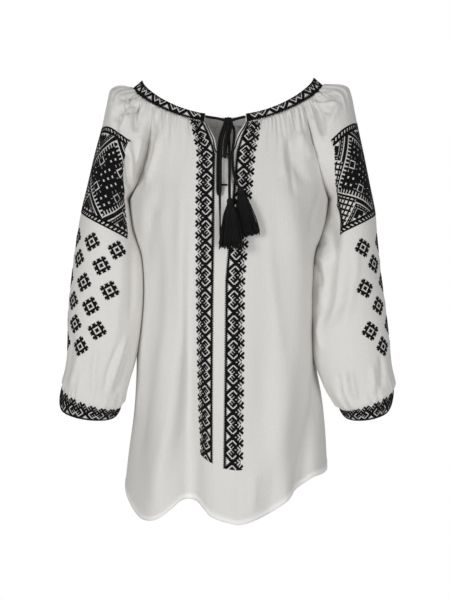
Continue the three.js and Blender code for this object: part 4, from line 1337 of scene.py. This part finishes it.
# The panel on each sleeve: two combed diamonds side by side, meeting near the line over the shoulder, in a
# frame of slanting dashes. It is 108 rows deep, and its front edge runs in under the raglan fold. top and
# bottom are its edges' levels at its middle, part of the way out and at its ends.
CELL = 1.36
PANEL = {"rows": 108, "columns": 200, "frame": 8, "diamond": 92, "trial_rows": 90, "tilt_over": 400}
PARTS_OUT = [0, 0.45, 1]
PANEL_ON = {
    -1: {
        "towards_front": 16, "skew": 0.0, "tilt": 0.05,
        "top": (0.73, 0.635, 0.57), "bottom": (1.115, 1.13, 1.15),
    },
    1: {
        "towards_front": -3.5, "skew": 0.27, "tilt": 0.13,
        "top": (0.665, 0.58, 0.535), "bottom": (1.115, 1.115, 1.115),
    },
}

# Where the stitching ends at the front and the back, in cells from the line over the shoulder, by shares of
# the panel's depth from its top.
LIMIT_SHARES = [0, 0.12, 0.25, 0.4, 0.6, 0.8, 0.92, 1]
FRONT_LIMIT = {-1: [80, 75, 80, 83, 92, 95, 98, 96], 1: [78, 79, 84.5, 87.5, 90, 110, 110, 110]}
BACK_LIMIT = [66, 70, 78, 84, 90, 96, 100, 100]


# The bare lines of the chart, in cells. A diamond has an outline, a comb inside it, and a filling of dots and
# small squares by turns. Above and below, its corners have wedges of lines, dashes and triangles; beside it
# the ground is strewn with small squares.
PANEL_FRAME = {"dashes": (2, 3, 4), "pitch": 5, "bare": 2}
DIAMOND = {"outline": (44, 45), "comb": (38, 44), "pitch": 6, "bare": 2, "inside": 36, "outside": 48}
WEDGE = {
    "outline": (52, 53), "fold": (0, 1), "fold_end": 20, "low": 8, "high": 32, "dash_low": 4, "dash_high": 36,
    "pitch": 6, "bare": 3, "triangles": (13, 20, 27), "triangle": 3,
}
GROUND = {"pitch": 8, "half": 2}
FILLING = {"pitch": 30, "dots": 10, "dot": 1, "square": (5, 6), "dash": (9, 12), "dash_at": 4}


def near(value, pitch):
    """How far a count lies from the nearest multiple of a pitch."""
    return np.abs((value + pitch // 2) % pitch - pitch // 2)


def diamond_bare(x, y):
    """The bare cells of a diamond and the square round it, counted from its middle."""
    half = PANEL["diamond"] // 2
    out_by = np.abs(x) + np.abs(y)
    from_side = half - np.abs(x)
    from_top = half - np.abs(y)
    rising = x + y
    falling = x - y
    along = np.where(x * y >= 0, falling, rising)
    bare = np.isin(out_by, DIAMOND["outline"])
    comb = (out_by >= DIAMOND["comb"][0]) & (out_by < DIAMOND["comb"][1])
    bare |= comb & (along % DIAMOND["pitch"] < DIAMOND["bare"])

    outside = out_by > DIAMOND["outside"]
    wedge = outside & (from_top <= from_side)
    less = from_side - from_top
    more = from_side + from_top
    bare |= wedge & np.isin(out_by, WEDGE["outline"])
    bare |= wedge & np.isin(less, WEDGE["fold"]) & (from_top < WEDGE["fold_end"])
    bare |= wedge & (more == WEDGE["high"]) & (less >= WEDGE["low"])
    bare |= wedge & (less == WEDGE["low"]) & (more <= WEDGE["high"])
    dashes_high = (more == WEDGE["dash_high"]) & (less >= WEDGE["dash_low"])
    bare |= wedge & dashes_high & (less % WEDGE["pitch"] < WEDGE["bare"])
    dashes_low = (less == WEDGE["dash_low"]) & (more < WEDGE["dash_high"])
    bare |= wedge & dashes_low & (more % WEDGE["pitch"] < WEDGE["bare"])
    for place in WEDGE["triangles"]:
        bare |= wedge & (np.abs(from_side - place) + from_top <= WEDGE["triangle"])
    ground = np.maximum(near(rising, GROUND["pitch"]), near(falling, GROUND["pitch"])) <= GROUND["half"]
    bare |= outside & ~wedge & ground

    inside = out_by < DIAMOND["inside"]
    group = [(way + FILLING["pitch"] // 2) // FILLING["pitch"] for way in (rising, falling)]
    dotted = (group[0] + group[1]) % 2 == 0
    dots = np.maximum(near(rising, FILLING["dots"]), near(falling, FILLING["dots"])) <= FILLING["dot"]
    bare |= inside & dotted & dots
    ways = near(rising, FILLING["pitch"]), near(falling, FILLING["pitch"])
    farther, nearer = np.maximum(*ways), np.minimum(*ways)
    bare |= inside & ~dotted & np.isin(farther, FILLING["square"])
    dash = (farther >= FILLING["dash"][0]) & (farther <= FILLING["dash"][1]) & (nearer == FILLING["dash_at"])
    return bare | inside & ~dotted & dash


def panel_chart():
    """The panel's stitches: its diamonds side by side within the frame."""
    r, c = np.mgrid[:PANEL["rows"], :PANEL["columns"]]
    frame, size = PANEL["frame"], PANEL["diamond"]
    bare = diamond_bare((c - frame) % size - size // 2, r - frame - size // 2)
    from_row = np.minimum(r, PANEL["rows"] - 1 - r)
    from_column = np.minimum(c, PANEL["columns"] - 1 - c)
    slant = np.where(from_row < frame, c + from_row, r + from_column) % PANEL_FRAME["pitch"]
    dashes = np.isin(np.where(from_row < frame, from_row, from_column), PANEL_FRAME["dashes"])
    dashes &= slant < PANEL_FRAME["bare"]
    return ~np.where((from_row >= frame) & (from_column >= frame), bare, dashes)


def across_sleeve(cloth, way):
    """The running length from the line over the shoulder towards the front, at each point of a sleeve."""
    run = lengths_of(cloth.grid(), 1)
    return (run - run[:, [SLEEVE_COLUMNS // 2]]) * (-way)


def sleeve_place(away, row, distance):
    """The column that lies a given distance from the line over the shoulder, at a row."""
    low = np.floor(row).astype(int)
    mix = row - low
    line = away[low] * (1 - mix) + away[np.minimum(low + 1, len(away) - 1)] * mix
    columns = np.arange(len(line))
    if line[-1] < line[0]:
        line, columns = line[::-1], columns[::-1]
    return np.interp(distance, line, columns)


panels = Stitches()
for way, cloth in sleeve_cloths.items():
    away = across_sleeve(cloth, way)
    on = PANEL_ON[way]
    distance = (PANEL["columns"] / 2 + on["towards_front"] - np.arange(PANEL["columns"] + 1)) * CELL
    inward = np.abs(distance) / (PANEL["columns"] / 2 * CELL)
    top, bottom = (np.interp(inward, PARTS_OUT, on[edge]) for edge in ("top", "bottom"))
    share = np.linspace(0, 1, PANEL["trial_rows"])
    lowered = on["tilt"] * (distance - distance.mean()) / PANEL["tilt_over"]
    level_at = top[None] + (bottom - top)[None] * share[:, None] + lowered[None]
    row_at = np.interp(level_at, SLEEVE_LEVELS, np.arange(len(SLEEVE_LEVELS)))
    skewed = distance[None] + on["skew"] * PANEL["rows"] * CELL * (0.5 - share[:, None])
    column_at = np.array(
        [[sleeve_place(away, r, d) for r, d in zip(line, place)] for line, place in zip(row_at, skewed)]
    )
    spots = cloth.at(row_at, column_at)[0]
    depth = lengths_of(spots, 0)
    steps = np.linspace(0, 1, PANEL["rows"] + 1)
    rows_even = np.array([np.interp(steps * d[-1], d, r) for d, r in zip(depth.T, row_at.T)]).T
    columns_even = np.array([np.interp(steps * d[-1], d, c) for d, c in zip(depth.T, column_at.T)]).T
    corners, outward = cloth.at(rows_even, columns_even)
    chart = panel_chart()
    share_down = (np.arange(PANEL["rows"]) + 0.5) / PANEL["rows"]
    place = (distance[None, 1:] + distance[None, :-1]) / 2 / CELL
    place = place + on["skew"] * PANEL["rows"] * (0.5 - share_down[:, None])
    chart &= place <= np.interp(share_down, LIMIT_SHARES, FRONT_LIMIT[way])[:, None]
    chart &= -place <= np.interp(share_down, LIMIT_SHARES, BACK_LIMIT)[:, None]
    panels.add(chart, corners, outward, flip=way > 0)
panels.build("sleeve_panels", stitching)


# Below each panel the sleeve is strewn with small rosettes in staggered rows: a square on its corner with
# a bare ring inside it and twelve lobes round it. A row gives how far it lies below the panel, its first
# rosette's distance from the line over the shoulder, their spacing, and how many there are on the front.
ROSETTE = {"cell": 1.6, "reach": 10, "ring": (3, 4), "body": 7, "below": 1.15, "lobes": (0, 1, 2, 5, 6, 7, 8)}
ROSETTE_ROWS = {
    -1: [
        (28, 24, 43, 3), (59.5, 38.5, 47.5, 2), (93, 10, 45.5, 3), (126, 32.5, 39.5, 2),
        (160, 42, 42.5, 2), (192, 54.5, 44, 1),
    ],
    1: [
        (36.5, 18, 49, 2), (67, 42, 49, 1), (99, 17, 49, 2), (132.5, 40.5, 49, 1),
        (166.5, 14, 49, 2), (195.5, 39.5, 49, 1),
    ],
}
ROSETTES_BEHIND = {"limit": -115, "most": 4}


def rosette_chart():
    """A rosette's stitches, counted in diagonal steps from its middle."""
    i, j = np.mgrid[-ROSETTE["reach"]:ROSETTE["reach"] + 1, -ROSETTE["reach"]:ROSETTE["reach"] + 1]
    size = np.abs(i) + np.abs(j)
    lobes = (size <= ROSETTE["reach"]) & np.isin(np.abs(np.abs(i) - np.abs(j)), ROSETTE["lobes"])
    return np.where(size <= ROSETTE["body"], ~np.isin(size, ROSETTE["ring"]), lobes)


rosettes = Stitches()
steps = (np.arange(2 * ROSETTE["reach"] + 2) - ROSETTE["reach"] - 0.5) * ROSETTE["cell"]
for way, cloth in sleeve_cloths.items():
    away = across_sleeve(cloth, way)
    depth = lengths_of(cloth.grid(), 0)[:, SLEEVE_COLUMNS // 2]
    rows_of = np.arange(len(SLEEVE_LEVELS))
    panel_end = np.interp(np.interp(ROSETTE["below"], SLEEVE_LEVELS, rows_of), rows_of, depth)
    for down, first, spacing, on_front in ROSETTE_ROWS[way]:
        places = first + spacing * np.arange(-ROSETTES_BEHIND["most"], on_front)
        for place in places[places > ROSETTES_BEHIND["limit"]]:
            row = np.array([np.interp(panel_end + down, depth, rows_of)])
            column = sleeve_place(away, row[0], place)
            here = cloth.at(row, np.array([column]))[0][0]
            by_row = cloth.at(row + 1, np.array([column]))[0][0] - here
            by_column = cloth.at(row, np.array([column + 1.0]))[0][0] - here
            sideways = unit(by_column)
            downward = unit(by_row - sideways * (by_row @ sideways))
            turn = np.array([[by_row @ downward, 0], [by_row @ sideways, np.linalg.norm(by_column)]])
            down_step, side_step = np.meshgrid(steps, steps, indexing="ij")
            row_by = down_step / turn[0, 0]
            column_by = (side_step - row_by * turn[1, 0]) / turn[1, 1]
            corners, outward = cloth.at(row[0] + row_by, column + column_by)
            rosettes.add(rosette_chart(), corners, outward)
rosettes.build("sleeve_rosettes", stitching)


# The neckband: a folded strip of the same cotton, sewn over the gathers, its ends left free at the V. Its
# outer face carries the inner half of the border, with the triangles along the lower edge. from, to and step
# are degrees round the neck, and above and below are how far the band goes past BAND_WIDTH there.
BAND = {
    "from": 11, "to": 345.5, "step": 0.25, "sides": 18, "top": 0.7, "bottom": -1.9, "flare": 0.35,
    "edge": 0.35, "face": 0.55,
}
RIPPLE = {"height": 0.22, "turns": 2.1, "drift": 0.8, "drift_turns": 0.7}
BAND_EDGES = {
    "angle": [0, 25, 45, 62, 78, 92, 112, 140, 180],
    "above": [0, 0.6, 2.2, 3.8, 4.2, 3.4, 2, 1, 0.6],
    "below": [0, 0.8, 1.8, 2.6, 2.8, 2.4, 1.4, 0.8, 0.5],
}
BAND_STITCHES = {
    "columns": 11, "cell": 1.33, "triangle_at": 26.5, "clear": 0.4, "solid": 5, "from": 0.98, "width": 0.96,
}


def band_point(angle, share):
    """A point of the band's face, at a share of its width from the top edge, and the way out from it."""
    turn = np.abs(np.where(angle > 180, angle - 360, angle))
    above = np.interp(turn, BAND_EDGES["angle"], BAND_EDGES["above"])
    under = np.interp(turn, BAND_EDGES["angle"], BAND_EDGES["below"])
    down = share * (BAND_WIDTH + above + under) - above
    along = neck_point(angle + 0.5, down) - neck_point(angle - 0.5, down)
    outward = unit(np.cross(neck_point(angle, down + 1) - neck_point(angle, down), along))
    drift = RIPPLE["drift"] * np.sin(angle * RIPPLE["drift_turns"])
    ripple = RIPPLE["height"] * np.sin(angle * RIPPLE["turns"] + drift)
    lift = ripple + under * BAND["flare"] * share
    return neck_point(angle, down) + outward * lift[..., None], outward


def rounded(value, power):
    """A share from -1 to 1 drawn out towards both ends."""
    return np.sign(value) * np.abs(value) ** power


angles = np.arange(BAND["from"], BAND["to"] + BAND["step"], BAND["step"])
angles = angles[angles <= BAND["to"]][:, None]
around = np.arange(BAND["sides"]) * math.tau / BAND["sides"]
half_thick = (BAND["top"] - BAND["bottom"]) / 2
share = 0.5 * (1 + rounded(np.cos(around), BAND["edge"]))[None]
lift = BAND["top"] - half_thick * (1 + rounded(np.sin(around), BAND["face"]))
face, outward = band_point(angles + 0 * share, share + 0 * angles)
band = Cords()
band.tube(face + outward * lift[None, :, None])
neck_band = band.build("neck_band", cotton, "cotton")
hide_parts("neckband")

fine = np.arange(0, 181, BAND["step"])
line = band_point(fine, np.full_like(fine, 0.5))[0]
run = run_of(line)
band_stitches = Stitches()
columns = np.arange(BAND_STITCHES["columns"] + 1)[None]
share = BAND_STITCHES["from"] - BAND_STITCHES["width"] * columns / BAND_STITCHES["columns"]
centre_run = np.interp(BAND_STITCHES["triangle_at"], fine, run)
last_row = int((run[-1] - centre_run) / BAND_STITCHES["cell"])
for way, end in ((1, BAND["from"]), (-1, 360 - BAND["to"])):
    before = centre_run - np.interp(end, fine, run) - BAND_STITCHES["clear"]
    first_row = -int(before / BAND_STITCHES["cell"])
    rows_run = centre_run + np.arange(first_row, last_row + 1) * BAND_STITCHES["cell"]
    turn = np.interp(rows_run, run, fine)[:, None]
    if way < 0:
        turn = 360 - turn
    corners, outward = band_point(turn + 0 * share, share + 0 * turn)
    corners = corners + outward * BAND["top"]
    chart = border(len(turn) - 1, first_row % BORDER_ROWS, BAND_STITCHES["columns"])
    chart[:BAND_STITCHES["solid"]] = True
    band_stitches.add(chart, corners, outward, flip=way < 0)
band_stitches.build("neckband_stitches", stitching)


# The cuffs: folded bands that the sleeves are gathered on to, a little narrower below. The border stands near
# their lower edge, its lobes reaching up to the gathers, and a narrow pale rim is left bare below it.
CUFF_RINGS = {
    "level": [2, 2.4, 2.8, 3],
    "outer_left": [-261.5, -265.5, -264, -257],
    "outer_right": [261, 260, 255, 248],
    "outer_z": [-481, -499, -515, -521],
    "inner_left": [-169, -171.5, -177, -183],
    "inner_right": [177, 177.5, 183, 189],
    "inner_z": [-512, -520, -528, -530],
    "y": [-29, -28.5, -27, -25],
    "depth": [50, 48.5, 43.5, 37],
    "front_drop": [10.5, 10, 9, 7],
}
CUFF = {"thickness": 2.0, "rows": 46, "columns": 200}
CUFF_BORDER = {"repeats": 9, "rim": 6, "clear": 0.4, "shift": {-1: 8, 1: 20}}
PUCKERS = {"gap": 9, "span": 2.6, "depth": 0.7, "reach": 20}
PUCKER_SEED = 60
PUCKERS_CLEAR = 4


def join_ring(ids):
    """The two ends of a cuff are one."""
    ids[:, -1] = ids[:, 0]


cuff_stitches = Stitches()
for way, name in ((-1, "left_cuff"), (1, "right_cuff")):
    cuff_levels = 2 + (np.arange(CUFF["rows"] + 1) / CUFF["rows"])
    turn = np.linspace(-180, 180, CUFF["columns"] + 1)
    rows = ring_point(CUFF_RINGS, cuff_levels[:, None], turn[None], way)
    if way < 0:
        rows = rows[:, ::-1]
    cuff = Cloth(rows, join_ring)
    girth = lengths_of(rows, 1)
    puckers = gathers(PUCKER_SEED + way, (PUCKERS_CLEAR, girth[0, -1] - PUCKERS_CLEAR), **PUCKERS)
    cuff.move(gathered(puckers, np.broadcast_to(girth[0], girth.shape), lengths_of(rows, 0)))
    cuff.shell(name, cotton, "cotton", CUFF["thickness"])
    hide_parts("cuff_left" if way < 0 else "cuff_right")
    depth = lengths_of(cuff.grid(), 0).mean(axis=1)
    foot = depth[-1] - CUFF_BORDER["rim"]
    up = np.arange(BORDER_COLUMNS + 1) / BORDER_COLUMNS * (foot - CUFF_BORDER["clear"])
    row_at = np.interp(foot - up, depth, np.arange(len(depth)))
    count = CUFF_BORDER["repeats"] * BORDER_ROWS
    middle = lengths_of(cuff.grid(), 1)[CUFF["rows"] // 2]
    column_at = np.interp(np.arange(count + 1) / count * middle[-1], middle, np.arange(len(middle)))
    corners, outward = cuff.at(*np.broadcast_arrays(row_at[None], column_at[:, None]))
    cuff_stitches.add(border(count, CUFF_BORDER["shift"][way], bold=True), corners, outward)
cuff_stitches.build("cuff_stitches", stitching)


# The edge of the V and the slit: a narrow rounded strip of the cotton, which rolls inside below the V, and a
# thin black line along it down to the slit's end. Lengths are measured from the edge, and the sunk ones are
# what the strip has less of, or lies lower by, once it has rolled inside.
EDGING = {
    "middle": 1.35, "half": 1.45, "lift": 0.35, "rise": 0.8, "sides": 12,
    "sinks": (-116, -130), "sunk_middle": 0.9, "sunk_half": 0.6, "sunk_rise": 0.5, "sunk_lift": 1.7,
}
EDGE_LINE = {"in_v": 3.5, "in_slit": 0.15, "radius": 0.95, "lift": 0.35, "sides": 8}
LINE_END = [(0.9, -0.3, -1.2), (2.4, -0.5, -1.6)]  # from the last point of the left edge's line
last = int(np.argmax(~slit_open))
SLIT_COLUMNS = 30


def beside_slit(side, offset, lift):
    """Points at lengths from one edge of the V and slit and above the cloth, for its rows from the top."""
    edge_column = FRONT_HALF if side < 0 else FRONT_HALF + 1
    run = lengths_of(front_grid[:last + 1, edge_column + side * np.arange(SLIT_COLUMNS)], 1)
    away = np.array([np.interp(o, r, np.arange(SLIT_COLUMNS)) for o, r in zip(offset, run)])
    column = edge_column + side * away
    row = np.broadcast_to(np.arange(last + 1)[:, None].astype(float), column.shape)
    spots, outward = front_cloth.at(row, column)
    return spots + outward * lift[..., None]


edging = Cords()
dark_edge_line = Cords()
around = np.arange(EDGING["sides"]) * math.tau / EDGING["sides"]
edge_height = front_grid[:last + 1, FRONT_HALF, 2]
sunk = np.interp(-edge_height, [-z for z in EDGING["sinks"]], [0, 1])[:, None]
for side in (-1, 1):
    half = EDGING["half"] * (1 - EDGING["sunk_half"] * sunk)
    offset = EDGING["middle"] - EDGING["sunk_middle"] * sunk - half * np.cos(around)
    rise = EDGING["rise"] * (1 - EDGING["sunk_rise"] * sunk)
    lift = EDGING["lift"] + rise * np.sin(around) - EDGING["sunk_lift"] * sunk
    rings = beside_slit(side, np.maximum(offset, 0), lift)
    edging.tube(rings if side < 0 else rings[:, ::-1])
    offset = EDGE_LINE["in_v"] + (EDGE_LINE["in_slit"] - EDGE_LINE["in_v"]) * sunk
    line = beside_slit(side, offset, np.full_like(offset, EDGE_LINE["lift"]))[:, 0]
    if side < 0:
        line = np.vstack([line, line[-1] + LINE_END])
    dark_edge_line.cord(line, EDGE_LINE["radius"], EDGE_LINE["sides"])
slit_edging = edging.build("slit_edging", cotton, "cotton")
dark_edge_line.build("slit_dark_edge_line", stitching, "black_stitching")
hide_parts("slit_binding")


# The slit's bar: four black threads laid side by side across the slit, from its left edge on to the right
# side. They stand a little off the cloth and bow forward at their middle.
BAR = {
    "x": (-12.4, -1.2), "z": -172, "rows": 4, "pitch": 0.66, "radius": 0.46, "sides": 8, "points": 9,
    "lift": 1.1, "bow": 0.9, "sag": 0.15, "uneven": 2.1, "sag_turn": 3,
}
bar = Cords()
x = np.linspace(*BAR["x"], BAR["points"])
bow = BAR["bow"] * np.sin(np.linspace(0, math.pi, BAR["points"]))
sag = np.sin(np.linspace(0, BAR["sag_turn"], BAR["points"]))
for k in range(BAR["rows"]):
    z = BAR["z"] + (k - (BAR["rows"] - 1) / 2) * BAR["pitch"]
    level = np.interp(-z, -read(CENTRE, "front_z", BODY_LEVELS), np.arange(len(BODY_LEVELS)))
    y = read(CENTRE, "front_y", BODY_LEVELS[int(level)]) - BAR["lift"] - bow
    line = stack(x, y, z + BAR["sag"] * math.sin(BAR["uneven"] * k) * sag)
    bar.cord(line, BAR["radius"], BAR["sides"])
slit_stitches = bar.build("slit_bar_stitches", stitching, "black_stitching")
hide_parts("slit_bar")


# The hem's stitches: one line of small white running stitches at the top of the turned-up hem, round the
# front and the back.
HEM = {"pitch": 3.2, "length": 2.3, "points": 4, "radius": 0.2, "sides": 4, "lift": 0.15, "bow": 0.12}
HEM_RUN = {"from": 2, "clear": 4}
white_thread = finish_of("white_thread", (0.8, 0.79, 0.77, 1), 0.6)[0]
hem = Cords()
rise = HEM["lift"] + HEM["bow"] * np.sin(np.linspace(0, math.pi, HEM["points"]))
for cloth in (front_cloth, back_cloth):
    depth = lengths_of(cloth.grid(), 0)
    row_of = np.array([np.interp(d[-1] - HEM_UP, d, np.arange(len(d))) for d in depth.T])
    column = np.arange(cloth.shape[1]).astype(float)
    line, outward = cloth.at(row_of, column)
    run = run_of(line)
    for start in np.arange(HEM_RUN["from"], run[-1] - HEM_RUN["clear"], HEM["pitch"]):
        spots = start + np.linspace(0, HEM["length"], HEM["points"])
        at = np.stack([np.interp(spots, run, line[:, k]) for k in range(3)], 1)
        up = np.stack([np.interp(spots, run, outward[:, k]) for k in range(3)], 1)
        hem.cord(at + up * rise[:, None], HEM["radius"], HEM["sides"])
hem.build("hem_stitches", white_thread, "cotton")
